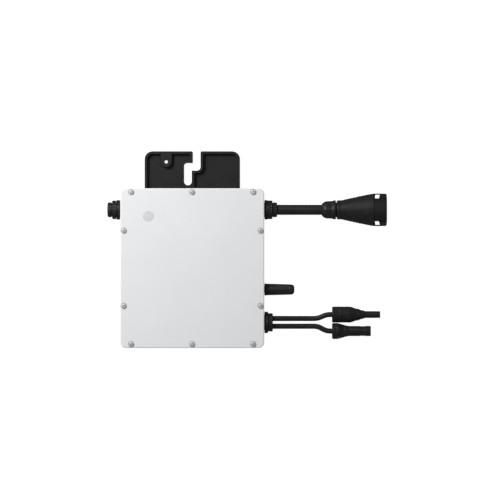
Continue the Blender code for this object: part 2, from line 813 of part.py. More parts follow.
def make_ac_port():
    """Chassis port on the left, with its contact carrier, and a plug-in cap that a coupling ring holds."""
    black = moulded_black()
    socket = 0.0068
    body = turned(
        "ac_port_body",
        [
            (-BARREL_REACH, AC_BARREL),
            (GAP, AC_BARREL),
            (GAP, 0.0111),
            (0.0043, 0.0111),
            (0.0043, 0.0086),
            (0.0079, 0.0086),
            (0.0079, socket),
            (-BARREL_REACH, socket),
        ],
        black,
        ring=True,
    )
    along_x(body, -SIDE_X, AC_Y, PORT_Z, -1)
    carrier_profile = [(-BARREL_REACH, socket - GAP), (-0.0025, socket - GAP)]
    insert = turned("ac_port_insert", carrier_profile, coat("contact_carrier", (0.05, 0.05, 0.05), 0.5))
    pin_profile = [(-0.0045, 0.0009), (0.0038, 0.0009), (0.0045, 0.0005)]
    for number, angle in enumerate(circle_turns(3), start=1):
        pin = turned(f"port_pin_{number}", pin_profile, steps=SMALL_STEPS)
        y = AC_Y + CONTACT_CIRCLE * math.sin(angle)
        z = PORT_Z + CONTACT_CIRCLE * math.cos(angle)
        join(insert, along_x(pin, -SIDE_X, y, z, -1))
    along_x(insert, -SIDE_X, AC_Y, PORT_Z, -1)

    flange_out = 0.0088
    cap = turned(
        "ac_cap",
        [
            (-0.0010, 0.0050),
            (-0.0010, socket - 2 * GAP),
            (0.0082, socket - 2 * GAP),
            (0.0082, 0.0085),
            (flange_out, 0.0085),
            (flange_out, 0.0072),
            (0.0097, 0.0072),
            (0.0097, 0.0085),
            (0.0134, 0.0085),
            (0.0144, 0.0077),
            (0.0149, 0.0052),
            (0.0149, 0.0008),
            (0.0085, 0.0008),
            (0.0085, 0.0050),
        ],
        black,
        ring=True,
    )
    plug = turned("cap_centre", [(0.0075, 0.0015), (0.0149, 0.0015)], steps=ROUND_STEPS)
    along_x(plug, -SIDE_X, AC_Y, PORT_Z, -1)
    join(along_x(cap, -SIDE_X, AC_Y, PORT_Z, -1), plug)
    ring = turned(
        "ac_cap_ring",
        [
            (0.0046, 0.0089),
            (0.0046, 0.0106),
            (0.0094, 0.0106),
            (0.0094, 0.0075),
            (flange_out + GAP, 0.0075),
            (flange_out + GAP, 0.0089),
        ],
        black,
        ring=True,
    )
    along_x(ring, -SIDE_X, AC_Y, PORT_Z, -1)


def make_ac_gland():
    black = moulded_black()
    bore = AC_CABLE_RADIUS + GAP
    body = turned(
        "ac_gland_body",
        [
            (-BARREL_REACH, bore),
            (-BARREL_REACH, AC_BARREL),
            (GAP, AC_BARREL),
            (GAP, 0.0110),
            (0.0041, 0.0110),
            (0.0043, 0.0106),
            (0.0093, 0.0106),
            (0.0093, 0.0069),
            (0.0124, 0.0069),
            (0.0124, bore),
        ],
        black,
        ring=True,
    )
    along_x(body, SIDE_X, AC_Y, PORT_Z)
    nut = turned(
        "ac_gland_nut",
        [
            (0.0096, 0.0072),
            (0.0096, 0.0085),
            (0.0137, 0.0085),
            (0.0147, 0.0075),
            (0.0147, bore),
            (0.0128, bore),
            (0.0128, 0.0072),
        ],
        black,
        ring=True,
    )
    along_x(nut, SIDE_X, AC_Y, PORT_Z)


def ac_cable_route():
    start = AC_CABLE_START_X
    end = PLUG_CABLE_END_X
    return [(start + (end - start) * step / 4, AC_Y, PORT_Z) for step in range(5)]


def make_ac_plug():
    """Coupler on the cable: domed compression nut, flared shell with two latch ears, contact carrier."""
    black = moulded_black()
    bore = AC_CABLE_RADIUS + GAP
    spigot = 0.0085
    nut = turned(
        "ac_plug_nut",
        [
            (0.0, bore),
            (0.0, 0.0066),
            (0.0020, 0.0085),
            (0.0042, 0.0096),
            (0.0055, 0.0099),
            (0.0114, 0.0100),
            (0.0138, 0.0108),
            (0.0161, 0.0109),
            (0.0161, spigot + GAP),
            (0.0065, spigot + GAP),
            (0.0065, bore),
        ],
        black,
        ring=True,
    )
    along_x(nut, PLUG_NUT_X, AC_Y, PORT_Z)

    shell = lofted(
        "ac_plug_shell",
        [
            (PLUG_NUT_X + 0.0070, spigot, spigot),
            (PLUG_SHELL_X - 0.0003, spigot, spigot),
            (PLUG_SHELL_X, 0.0109, 0.0108),
            (0.1697, 0.0109, 0.0109),
            (0.1741, 0.0120, 0.0114),
            (0.1797, 0.0133, 0.0120),
            (0.1856, 0.0145, 0.0126),
            (0.1911, 0.0158, 0.0132),
            (0.1971, 0.0169, 0.0139),
            (0.2026, 0.0179, 0.0146),
            (PLUG_COLLAR_X, PLUG_EAR_HALF, PLUG_COLLAR_RADIUS),
            (PLUG_COLLAR_X + 0.0002, PLUG_COLLAR_RADIUS, PLUG_COLLAR_RADIUS),
            (PLUG_END_X, PLUG_COLLAR_RADIUS, PLUG_COLLAR_RADIUS),
        ],
        AC_Y,
        PORT_Z,
        black,
    )
    ear_outline = rounded(
        [
            (0.2045, AC_Y - PLUG_EAR_HALF, 0),
            (PLUG_END_X - 0.0002, AC_Y - PLUG_EAR_HALF, 0.002),
            (PLUG_END_X - 0.0002, AC_Y + PLUG_EAR_HALF, 0.002),
            (0.2045, AC_Y + PLUG_EAR_HALF, 0),
        ]
    )
    half_ear = PLUG_EAR_THICKNESS / 2
    ears = prism("plug_ears", ear_outline, PORT_Z - half_ear, PORT_Z + half_ear)
    windows = prisms("latch_windows", [(window_outline(side), -OVERRUN, 0.032) for side in (1, -1)])
    hollow = turned(
        "plug_hollow",
        [
            (PLUG_NUT_X, bore),
            (PLUG_INSERT_X - GAP, bore),
            (PLUG_INSERT_X - GAP, 0.0093),
            (PLUG_COLLAR_X, 0.0093),
            (PLUG_COLLAR_X, PLUG_BELL),
            (PLUG_END_X + OVERRUN, PLUG_BELL),
        ],
    )
    along_x(hollow, 0, AC_Y, PORT_Z)
    cut(join(shell, ears), hollow, windows)

    nose_end = 0.0315
    insert = turned(
        "ac_plug_insert",
        [(0.0, 0.0090), (0.0241, 0.0090), (0.0241, 0.0062), (nose_end - 0.0005, 0.0062), (nose_end, 0.0057)],
        coat("contact_carrier", (0.05, 0.05, 0.05), 0.5),
    )
    along_x(insert, PLUG_INSERT_X, AC_Y, PORT_Z)
    sockets = bmesh.new()
    for angle in circle_turns(3):
        y = AC_Y + CONTACT_CIRCLE * math.sin(angle)
        z = PORT_Z + CONTACT_CIRCLE * math.cos(angle)
        place = Matrix.Translation((PLUG_INSERT_X + nose_end, y, z))
        bmesh.ops.create_cone(
            sockets,
            cap_ends=True,
            segments=SMALL_STEPS,
            radius1=0.0012,
            radius2=0.0012,
            depth=0.018,
            matrix=place @ Matrix.Rotation(math.pi / 2, 4, "Y"),
        )
    cut(insert, from_mesh("plug_sockets", sockets, None))


def window_outline(side):
    """A latch window: its outer edge lies a little nearer the mouth than its inner edge."""
    corners = [
        (WINDOW_LOW_X - WINDOW_SLANT, WINDOW_INNER),
        (WINDOW_HIGH_X - 2 * WINDOW_SLANT, WINDOW_INNER),
        (WINDOW_HIGH_X, WINDOW_OUTER),
        (WINDOW_LOW_X, WINDOW_OUTER),
    ]
    outline = [(x, AC_Y + side * offset) for x, offset in corners]
    return outline if side > 0 else outline[::-1]


# ---------------------------------------------------------------------------------------------------------
# Antenna and DC side


def make_antenna():
    antenna = turned(
        "antenna_stub",
        [
            (-BARREL_REACH, ANTENNA_BARREL),
            (GAP, ANTENNA_BARREL),
            (GAP, 0.0070),
            (0.0022, 0.0065),
            (0.0236, 0.0061),
            (0.0316, 0.0058),
            (0.0336, 0.0047),
            (0.0345, 0.0030),
        ],
        coat("antenna_black", (0.02, 0.02, 0.02), 0.55),
    )
    along_x(antenna, SIDE_X, ANTENNA_Y, PORT_Z)


def lead_bores(name, low, high):
    """Two round cutters along X, one for each DC lead."""
    work = bmesh.new()
    for side in (1, -1):
        place = Matrix.Translation(((low + high) / 2, DC_Y + side * LEAD_SPREAD, PORT_Z))
        bmesh.ops.create_cone(
            work,
            cap_ends=True,
            segments=16,
            radius1=DC_LEAD_RADIUS + GAP,
            radius2=DC_LEAD_RADIUS + GAP,
            depth=high - low,
            matrix=place @ Matrix.Rotation(math.pi / 2, 4, "Y"),
        )
    return from_mesh(name, work, None)


def make_dc_gland():
    black = moulded_black()
    body = turned(
        "dc_gland_body",
        [(-BARREL_REACH, DC_BARREL), (GAP, DC_BARREL), (GAP, 0.0122), (0.0041, 0.0122), (0.0044, 0.0119)],
        black,
    )
    along_x(body, SIDE_X, DC_Y, PORT_Z)
    cut(body, lead_bores("gland_body_bores", SIDE_X - 0.008, SIDE_X + 0.008))
    collar = turned(
        "dc_gland_collar",
        [(0.0047, 0.0104), (0.0092, 0.0104), (0.0098, 0.0099)],
        black,
    )
    along_x(collar, SIDE_X, DC_Y, PORT_Z)
    cut(collar, lead_bores("gland_collar_bores", SIDE_X + 0.001, SIDE_X + 0.012))


def dc_lead_route(side, connector_y, end_x):
    """From the gland out and down to the surface, then over to the connector's axis in two equal arcs."""
    start_y = DC_Y + side * LEAD_SPREAD
    swing = connector_y - start_y
    length = DC_BEND_END_X - DC_BEND_START_X
    radius = (length**2 + swing**2) / (4 * abs(swing))
    low = DC_CONNECTOR_Z
    points = [
        (DC_LEAD_START_X, start_y, PORT_Z),
        (0.0930, start_y, PORT_Z),
        (0.1050, start_y, PORT_Z - 0.0010),
        (0.1210, start_y, low + 0.0016),
        (0.1330, start_y, low + 0.0001),
    ]
    for step in range(BEND_STEPS + 1):
        along = length / 2 * step / BEND_STEPS
        rise = math.copysign(radius - math.sqrt(radius**2 - along**2), swing)
        points.append((DC_BEND_START_X + along, start_y + rise, low))
    for step in range(BEND_STEPS - 1, -1, -1):
        along = length / 2 * step / BEND_STEPS
        rise = math.copysign(radius - math.sqrt(radius**2 - along**2), swing)
        points.append((DC_BEND_END_X - along, connector_y - rise, low))
    return [*points, (0.1650, connector_y, low), (end_x, connector_y, low)]


def make_dc_positive():
    black = moulded_black()
    bore = DC_LEAD_RADIUS + GAP
    spigot = 0.0070
    x = DC_CONNECTOR_X
    nut = turned(
        "dc_positive_nut",
        [
            (0.0, bore),
            (0.0, 0.0083),
            (0.0009, 0.00915),
            (0.0099, 0.00915),
            (0.0099, spigot + GAP),
            (0.0022, spigot + GAP),
            (0.0022, bore),
        ],
        black,
        ring=True,
    )
    along_x(nut, x, DC_POSITIVE_Y, DC_CONNECTOR_Z)
    nose = 0.0039
    housing = turned(
        "dc_positive_housing",
        [
            (0.0026, bore),
            (0.0026, spigot),
            (0.0102, spigot),
            (0.0102, 0.00915),
            (0.0212, 0.00915),
            (0.0244, 0.0078),
            (0.0277, 0.00675),
            (0.0302, 0.0066),
            (0.0334, 0.0051),
            (0.0356, 0.00485),
            (0.0378, nose),
            (0.0550, nose),
            (0.0550, 0.0023),
            (0.0172, 0.0023),
            (0.0172, bore),
        ],
        black,
        ring=True,
    )
    along_x(housing, x, DC_POSITIVE_Y, DC_CONNECTOR_Z)
    contact = turned(
        "dc_positive_contact",
        [
            (0.0175, 0.0005),
            (0.0175, 0.0020),
            (0.0540, 0.0020),
            (0.0540, 0.0013),
            (0.0400, 0.0013),
            (0.0400, 0.0005),
        ],
        coat("tinned_copper", (0.65, 0.62, 0.55), 0.3, 1.0),
        ring=True,
        steps=16,
    )
    along_x(contact, x, DC_POSITIVE_Y, DC_CONNECTOR_Z)


def make_dc_negative():
    black = moulded_black()
    bore = DC_LEAD_RADIUS + GAP
    spigot = 0.0066
    x = DC_CONNECTOR_X
    nut = turned(
        "dc_negative_nut",
        [
            (0.0, bore),
            (0.0, 0.0083),
            (0.0009, 0.0091),
            (0.0066, 0.0091),
            (0.0069, 0.0088),
            (0.0069, spigot + GAP),
            (0.0022, spigot + GAP),
            (0.0022, bore),
        ],
        black,
        ring=True,
    )
    along_x(nut, x, DC_NEGATIVE_Y, DC_CONNECTOR_Z)
    barrel = 0.0058
    mouth = 0.0041
    housing = turned(
        "dc_negative_housing",
        [
            (0.0026, bore),
            (0.0026, spigot),
            (0.0072, spigot),
            (0.0072, 0.0088),
            (0.0085, 0.0086),
            (0.0129, 0.0065),
            (0.0167, 0.0064),
            (0.0187, barrel),
            (0.0443, barrel),
            (0.0443, mouth),
            (0.0230, mouth),
            (0.0230, 0.0018),
            (0.0190, 0.0018),
            (0.0190, bore),
        ],
        black,
        ring=True,
    )
    along_x(housing, x, DC_NEGATIVE_Y, DC_CONNECTOR_Z)
    contact = turned(
        "dc_negative_contact",
        [(0.0193, 0.0015), (0.0375, 0.0015), (0.0385, 0.0008)],
        coat("tinned_copper", (0.65, 0.62, 0.55), 0.3, 1.0),
        steps=12,
    )
    along_x(contact, x, DC_NEGATIVE_Y, DC_CONNECTOR_Z)


def make_leads():
    jacket = coat("cable_jacket", (0.02, 0.02, 0.021), 0.6)
    cord("ac_cable", ac_cable_route(), AC_CABLE_RADIUS, AC_CABLE_SPACING, jacket)
    positive = dc_lead_route(1, DC_POSITIVE_Y, DC_CONNECTOR_X + 0.0169)
    negative = dc_lead_route(-1, DC_NEGATIVE_Y, DC_CONNECTOR_X + 0.0187)
    cord("dc_lead_positive", positive, DC_LEAD_RADIUS, DC_LEAD_SPACING, jacket)
    cord("dc_lead_negative", negative, DC_LEAD_RADIUS, DC_LEAD_SPACING, jacket)


def main():
    clear_scene()
    make_tray()
    make_gasket()
    make_cover()
    make_lens()
    make_screws()
    make_bracket()
    make_bracket_screws()
    make_board()
    make_transformer()
    make_choke()
    make_capacitors()
    make_relay()
    make_chips()
    make_ac_port()
    make_ac_gland()
    make_ac_plug()
    make_antenna()
    make_dc_gland()
    make_dc_positive()
    make_dc_negative()
    make_leads()


main()
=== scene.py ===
import math
import random

import bmesh
import bpy
from mathutils import Matrix, Vector


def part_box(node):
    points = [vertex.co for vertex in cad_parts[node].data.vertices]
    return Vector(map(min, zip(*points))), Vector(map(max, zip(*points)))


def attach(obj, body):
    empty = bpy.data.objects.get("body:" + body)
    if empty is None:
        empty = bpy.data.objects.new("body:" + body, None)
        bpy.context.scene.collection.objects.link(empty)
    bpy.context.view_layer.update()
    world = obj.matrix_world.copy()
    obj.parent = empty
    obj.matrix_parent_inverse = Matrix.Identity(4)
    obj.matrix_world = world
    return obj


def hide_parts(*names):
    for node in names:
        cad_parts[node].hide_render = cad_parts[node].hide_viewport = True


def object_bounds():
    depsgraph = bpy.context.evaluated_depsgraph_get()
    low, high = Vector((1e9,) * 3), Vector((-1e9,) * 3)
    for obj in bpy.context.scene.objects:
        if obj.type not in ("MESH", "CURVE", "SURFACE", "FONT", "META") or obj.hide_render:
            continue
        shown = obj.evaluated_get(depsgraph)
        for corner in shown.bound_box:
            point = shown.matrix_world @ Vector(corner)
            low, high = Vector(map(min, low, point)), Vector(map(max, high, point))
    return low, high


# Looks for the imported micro-inverter. Metres in the row frame: the origin is the centre of the case's back
# face, +Z points out of the cover, +Y towards the mounting bracket and +X towards the cables.

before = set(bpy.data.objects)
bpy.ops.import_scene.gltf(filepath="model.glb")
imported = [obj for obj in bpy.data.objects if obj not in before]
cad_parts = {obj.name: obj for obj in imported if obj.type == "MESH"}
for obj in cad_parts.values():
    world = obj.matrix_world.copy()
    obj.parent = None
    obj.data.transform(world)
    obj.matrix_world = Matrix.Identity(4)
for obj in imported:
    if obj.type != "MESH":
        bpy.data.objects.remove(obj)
cad_low, cad_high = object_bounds()

ROUND_STEPS = 72
ARC_STEPS = 10
SHARP_ANGLE = math.radians(38)
OVERRUN = 0.001  # how far a cutter runs past the face that it opens
EASE = 0.0004  # usual rounding of a moulded edge
MM = 0.001
POLE = 1e-6  # a profile radius below this is a point on the axis

case_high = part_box("base_tray")[1]
cover_low, cover_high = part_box("cover_plate")
SIDE_X = case_high.x
SIDE_Y = case_high.y
PORT = (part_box("ac_gland_body")[0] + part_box("ac_gland_body")[1]) / 2
PORT_Z = PORT.z
AC_Y = PORT.y
CASE_CORNER = 0.0065


def middle(node):
    low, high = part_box(node)
    return (low + high) / 2


# Camera: straight above the cover, with a lens so long that low and high parts are drawn to one scale

FRAME_WIDTH = 0.5695
LENS = 1200.0
SENSOR = 36.0
SIGHT = 60.0  # how far the camera sees
VIEW_CENTRE = Vector((0.0658, 0.0207))

camera_data = bpy.data.cameras.new("camera")
camera_data.lens = LENS
camera_data.sensor_width = SENSOR
camera_data.clip_end = SIGHT
camera = bpy.data.objects.new("camera", camera_data)
camera.location = (VIEW_CENTRE.x, VIEW_CENTRE.y, cover_high.z + FRAME_WIDTH * LENS / SENSOR)
bpy.context.scene.collection.objects.link(camera)
bpy.context.scene.camera = camera
bpy.context.scene.view_settings.view_transform = "Standard"


# Materials


NOISE_LOW, NOISE_HIGH = 0.3, 0.7  # most of a noise texture's values lie between these
FLECK_START, FLECK_FULL = 0.52, 0.72
FLAT_DOT, EDGE_DOT = 0.995, 0.80  # a bevelled normal against the true one, on a face and at an edge


def procedural(
    name, colour, roughness, metallic=0.0, grain=0.0004, depth=0.00001, mottle=0.12, patch=0.012, spread=0.08,
    edge_wear_and_highlight=None, edge_wear_and_highlight_share=0.6, edge=0.0004, fleck=None, fleck_share=0.5, stretch=(1.0, 1.0, 1.0), coat=0.0,
    specular=0.5, pattern=None,
):
    """Principled material with grain, patchy colour, uneven gloss and edges painted lighter (part wear, part
    painted highlight), all from nodes.
    """
    made = bpy.data.materials.new(name)
    made.use_nodes = True
    nodes = made.node_tree.nodes
    links = made.node_tree.links
    shader = nodes["Principled BSDF"]
    shader.inputs["Metallic"].default_value = metallic
    shader.inputs["Coat Weight"].default_value = coat
    shader.inputs["Specular IOR Level"].default_value = specular

    def feed(node, socket, source):
        links.new(source, node.inputs[socket])

    def noise(size, detail=3.0, vector=None):
        node = nodes.new("ShaderNodeTexNoise")
        node.inputs["Scale"].default_value = 1.0 / size
        node.inputs["Detail"].default_value = detail
        feed(node, "Vector", vector or place)
        return node.outputs["Fac"]

    def spanned(source, low, high, to_low=0.0, to_high=1.0):
        node = nodes.new("ShaderNodeMapRange")
        for socket, value in zip(("From Min", "From Max", "To Min", "To Max"), (low, high, to_low, to_high)):
            node.inputs[socket].default_value = value
        feed(node, "Value", source)
        return node.outputs["Result"]

    def times(first, second):
        node = nodes.new("ShaderNodeMath")
        node.operation = "MULTIPLY"
        links.new(first, node.inputs[0])
        links.new(second, node.inputs[1])
        return node.outputs["Value"]

    def mixed(share, first, second):
        node = nodes.new("ShaderNodeMix")
        node.data_type = "RGBA"
        links.new(share, node.inputs["Factor"])
        for socket, value in ((node.inputs[6], first), (node.inputs[7], second)):
            if isinstance(value, tuple):
                socket.default_value = (*value, 1.0)
            else:
                links.new(value, socket)
        return node.outputs[2]

    scaling = nodes.new("ShaderNodeMapping")
    scaling.inputs["Scale"].default_value = stretch
    feed(scaling, "Vector", nodes.new("ShaderNodeTexCoord").outputs["Object"])
    place = scaling.outputs["Vector"]

    fine = noise(grain, 4.0)
    broad = noise(patch)
    darker = tuple(channel * (1 - mottle) for channel in colour)
    lighter = tuple(min(1.0, channel * (1 + mottle)) for channel in colour)
    paint = mixed(spanned(broad, NOISE_LOW, NOISE_HIGH), darker, lighter)
    if pattern:
        paint = pattern(nodes, links, place, paint, mixed, spanned, noise)
    if fleck:
        paint = mixed(spanned(fine, FLECK_START, FLECK_FULL, 0.0, fleck_share), paint, fleck)
    # Edges painted lighter where the bevelled normal turns away: partly wear, partly a painted highlight
    # along every rim.
    if edge_wear_and_highlight:
        rounded_normal = nodes.new("ShaderNodeBevel")
        rounded_normal.samples = 4
        rounded_normal.inputs["Radius"].default_value = edge
        facing = nodes.new("ShaderNodeVectorMath")
        facing.operation = "DOT_PRODUCT"
        links.new(rounded_normal.outputs["Normal"], facing.inputs[0])
        links.new(nodes.new("ShaderNodeNewGeometry").outputs["Normal"], facing.inputs[1])
        at_edge = spanned(facing.outputs["Value"], FLAT_DOT, EDGE_DOT)
        worn_and_lit_patches = spanned(noise(patch * 0.35, 5.0), 0.38, 0.66, 0.15, edge_wear_and_highlight_share)
        paint = mixed(times(at_edge, worn_and_lit_patches), paint, edge_wear_and_highlight)
    links.new(paint, shader.inputs["Base Color"])
    gloss = spanned(noise(grain * 6), NOISE_LOW, NOISE_HIGH, roughness - spread, roughness + spread)
    links.new(gloss, shader.inputs["Roughness"])
    bump = nodes.new("ShaderNodeBump")
    bump.inputs["Distance"].default_value = depth
    bump.inputs["Strength"].default_value = 1.0
    feed(bump, "Height", fine)
    links.new(bump.outputs["Normal"], shader.inputs["Normal"])
    return made


def copper_tracks(nodes, links, place, paint, mixed, spanned, noise):
    """Lighter tracks and tinned pads over a solder-mask colour."""
    cells = nodes.new("ShaderNodeTexVoronoi")
    cells.feature = "DISTANCE_TO_EDGE"
    cells.inputs["Scale"].default_value = 190.0
    links.new(place, cells.inputs["Vector"])
    tracks = mixed(spanned(cells.outputs["Distance"], 0.07, 0.05), paint, (0.05, 0.22, 0.09))
    pads = nodes.new("ShaderNodeTexVoronoi")
    pads.inputs["Scale"].default_value = 260.0
    links.new(place, pads.inputs["Vector"])
    return mixed(spanned(pads.outputs["Distance"], 0.19, 0.15), tracks, (0.55, 0.54, 0.5))


def banded(period, colour, share=0.6):
    """Bands across Z, as of tape turns or wire layers."""

    def pattern(nodes, links, place, paint, mixed, spanned, noise):
        wave = nodes.new("ShaderNodeTexWave")
        wave.bands_direction = "Z"
        wave.inputs["Scale"].default_value = 0.314 / period
        wave.inputs["Distortion"].default_value = 0.4
        links.new(place, wave.inputs["Vector"])
        return mixed(spanned(wave.outputs["Fac"], 0.2, 0.0, 0.0, share), paint, colour)

    return pattern


# Lighter black painted on moulded edges: worn plastic together with a painted edge highlight.
WORN_AND_LIT_EDGE_BLACK = (0.017, 0.017, 0.018)

cast_black = procedural(
    "cast_black_paint", (0.0098, 0.0098, 0.0102), 0.52, grain=0.0006, depth=0.00004, mottle=0.18,
    edge_wear_and_highlight=(0.019, 0.019, 0.020), fleck=(0.016, 0.016, 0.017), specular=0.33,
)
# The plate's rolled rim is painted much lighter: a painted highlight along the edge, with a little wear.
plate_grey = procedural(
    "plate_powder_grey", (0.725, 0.731, 0.741), 0.46, metallic=0.05, grain=0.0007, depth=0.000012,
    mottle=0.012, patch=0.035, spread=0.06, edge_wear_and_highlight=(0.86, 0.87, 0.88), edge_wear_and_highlight_share=0.9, edge=0.0005,
    fleck=(0.655, 0.662, 0.674), fleck_share=0.4, specular=0.35,
)
lens_grey = procedural(
    "lens_frosted_grey", (0.577, 0.585, 0.597), 0.34, grain=0.0005, depth=0.000006, mottle=0.03, patch=0.004,
    spread=0.05, edge_wear_and_highlight=(0.62, 0.63, 0.64), coat=0.05,
)
steel = procedural(
    "screw_steel", (0.56, 0.56, 0.57), 0.55, metallic=0.35, grain=0.00025, depth=0.000006, mottle=0.10,
    patch=0.002, spread=0.07, edge_wear_and_highlight=(0.60, 0.60, 0.61), edge=0.0002, stretch=(1.0, 1.0, 3.0),
)
moulded_black = procedural(
    "moulded_black_nylon", (0.0103, 0.0103, 0.0108), 0.47, grain=0.0005, depth=0.00002, mottle=0.15,
    patch=0.008, edge_wear_and_highlight=WORN_AND_LIT_EDGE_BLACK, fleck=(0.016, 0.016, 0.017), fleck_share=0.35, specular=0.33,
)
antenna_black = procedural(
    "antenna_black_rubber", (0.0118, 0.0118, 0.0123), 0.50, depth=0.000025, mottle=0.15, patch=0.010,
    edge_wear_and_highlight=(0.021, 0.021, 0.022), edge=0.0005, specular=0.42,
)
jacket_black = procedural(
    "cable_jacket_black", (0.0110, 0.0110, 0.0115), 0.46, grain=0.0006, depth=0.00003, mottle=0.16,
    specular=0.45, patch=0.006, stretch=(0.15, 1.0, 1.0), fleck=(0.020, 0.020, 0.021), fleck_share=0.4,
)
gasket_black = procedural(
    "gasket_rubber", (0.020, 0.020, 0.020), 0.75, grain=0.0003, depth=0.00003, mottle=0.2, patch=0.005,
)
contact_black = procedural(
    "contact_carrier_black", (0.030, 0.030, 0.031), 0.55, depth=0.00002, mottle=0.15, patch=0.004,
    edge_wear_and_highlight=(0.07, 0.07, 0.07), edge=0.0003,
)
tinned = procedural(
    "tinned_copper", (0.66, 0.63, 0.57), 0.28, metallic=1.0, grain=0.0002, depth=0.000006, mottle=0.1,
    patch=0.002, edge_wear_and_highlight=(0.75, 0.48, 0.30), edge=0.0002, stretch=(0.3, 1.0, 1.0),
)
board_green = procedural(
    "board_solder_mask", (0.014, 0.095, 0.040), 0.34, grain=0.0006, depth=0.000008, pattern=copper_tracks,
)
pad_grey = procedural("thermal_pad_grey", (0.30, 0.32, 0.35), 0.8, grain=0.0005, depth=0.00004, mottle=0.1)
ferrite = procedural(
    "ferrite_grey", (0.045, 0.045, 0.05), 0.6, grain=0.0003, depth=0.00002, mottle=0.2,
    edge_wear_and_highlight=(0.12, 0.12, 0.12),
)
winding_tape = procedural(
    "winding_tape_amber", (0.50, 0.27, 0.04), 0.32, grain=0.0008, depth=0.00003, mottle=0.14,
    pattern=banded(0.0024, (0.26, 0.12, 0.02)),
)
enamelled = procedural(
    "enamelled_copper", (0.42, 0.13, 0.045), 0.28, metallic=0.7, depth=0.00002, mottle=0.18, patch=0.004,
)
sleeve = procedural(
    "capacitor_sleeve_black", (0.014, 0.014, 0.035), 0.30, grain=0.0006, mottle=0.15, edge_wear_and_highlight=(0.09, 0.09, 0.12),
)
film_yellow = procedural(
    "film_capacitor_yellow", (0.55, 0.36, 0.025), 0.34, grain=0.0006, mottle=0.08, edge_wear_and_highlight=(0.7, 0.55, 0.2),
)
bobbin_brown = procedural(
    "relay_bobbin_brown", (0.20, 0.085, 0.030), 0.42, pattern=banded(0.0008, (0.36, 0.14, 0.04), 0.5),
)
relay_blue = procedural(
    "relay_cover_blue", (0.020, 0.075, 0.22), 0.30, grain=0.0006, mottle=0.1, edge_wear_and_highlight=(0.10, 0.18, 0.34),
)
chip_epoxy = procedural(
    "chip_epoxy_black", (0.018, 0.018, 0.018), 0.52, grain=0.0002, mottle=0.2, patch=0.003,
    edge_wear_and_highlight=(0.05, 0.05, 0.05), edge=0.0003,
)
radio_tin = procedural(
    "radio_can_tin", (0.60, 0.60, 0.58), 0.30, metallic=1.0, mottle=0.1, patch=0.004, edge_wear_and_highlight=(0.8, 0.8, 0.78),
)


# Shape helpers


def from_work(name, work, material, sharp=SHARP_ANGLE):
    bmesh.ops.recalc_face_normals(work, faces=work.faces)
    mesh = bpy.data.meshes.new(name)
    work.to_mesh(mesh)
    work.free()
    made = bpy.data.objects.new(name, mesh)
    bpy.context.scene.collection.objects.link(made)
    if material:
        mesh.materials.append(material)
    mesh.shade_smooth()
    mesh.set_sharp_from_angle(angle=sharp)
    return made


def settle(piece, node, body="inverter"):
    """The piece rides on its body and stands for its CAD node."""
    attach(piece, body)
    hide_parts(node)
    return piece


def along_x(x, y, z, facing=1):
    """Lays a turned profile's axis along +X, or along -X when facing is -1."""
    return Matrix.Translation((x, y, z)) @ Matrix.Rotation(facing * math.pi / 2, 4, "Y")


def upright(x, y, z, turn=0.0):
    return Matrix.Translation((x, y, z)) @ Matrix.Rotation(turn, 4, "Z")


def eased(profile, reach=EASE, steps=3, ring=False):
    """The profile with each corner turned into a small arc."""
    points = [Vector(point) for point in profile]
    result = []
    for index, here in enumerate(points):
        if not ring and index in (0, len(points) - 1):
            result.append(here)
            continue
        before = points[index - 1] - here
        after = points[(index + 1) % len(points)] - here
        cut_back = min(reach, 0.45 * before.length, 0.45 * after.length)
        first = here + before.normalized() * cut_back
        last = here + after.normalized() * cut_back
        for step in range(steps + 1):
            share = step / steps
            result.append(first.lerp(here, share).lerp(here.lerp(last, share), share))
    return result


def refined(profile, longest, ring=False):
    """The profile with its long runs divided, so that relief along it shows."""
    points = [Vector(point) for point in profile]
    ends = points[1:] + points[:1] if ring else points[1:]
    result = []
    for here, ahead in zip(points, ends):
        count = max(1, math.ceil((ahead - here).length / longest))
        result += [here.lerp(ahead, step / count) for step in range(count)]
    return result if ring else result + points[-1:]


def skin(work, first, second):
    """Faces between two loops of points, either of which may be a single point."""
    count = max(len(first), len(second))
    for index in range(count):
        following = (index + 1) % count
        if len(first) == 1:
            corners = (first[0], second[following], second[index])
        elif len(second) == 1:
            corners = (first[index], first[following], second[0])
        else:
            corners = (first[index], first[following], second[following], second[index])
        work.faces.new(corners)


def add_turned(work, profile, place, ring=False, steps=ROUND_STEPS, relief=None):
    """Solid of revolution from (height, radius) points; relief(height, radius, turn) moves its skin."""
    loops = []
    for height, radius in profile:
        if radius < POLE:
            loops.append([work.verts.new(place @ Vector((0, 0, height)))])
            continue
        loop = []
        for step in range(steps):
            turn = math.tau * step / steps
            reach = radius + (relief(height, radius, turn) if relief else 0.0)
            point = Vector((reach * math.cos(turn), reach * math.sin(turn), height))
            loop.append(work.verts.new(place @ point))
        loops.append(loop)
    for first, second in zip(loops, loops[1:] + loops[:1] if ring else loops[1:]):
        skin(work, first, second)
    if not ring:
        for end in (loops[0], loops[-1]):
            if len(end) > 1:
                work.faces.new(end)


def turned(name, profile, place, material=None, ring=False, steps=ROUND_STEPS, relief=None):
    work = bmesh.new()
    add_turned(work, profile, place, ring, steps, relief)
    return from_work(name, work, material)


def moulding(
    name, profile, place, longest, steps, relief, ring=True, ease=0.3, ease_steps=3, material=moulded_black,
):
    """Turned piece from a profile in millimetres: corners eased, long runs divided so that relief shows."""
    outline = eased([(height * MM, radius * MM) for height, radius in profile], ease * MM, ease_steps, ring)
    return turned(name, refined(outline, longest, ring), place, material, ring, steps, relief)


def fade(value):
    held = min(1.0, max(0.0, value))
    return held * held * (3 - 2 * held)


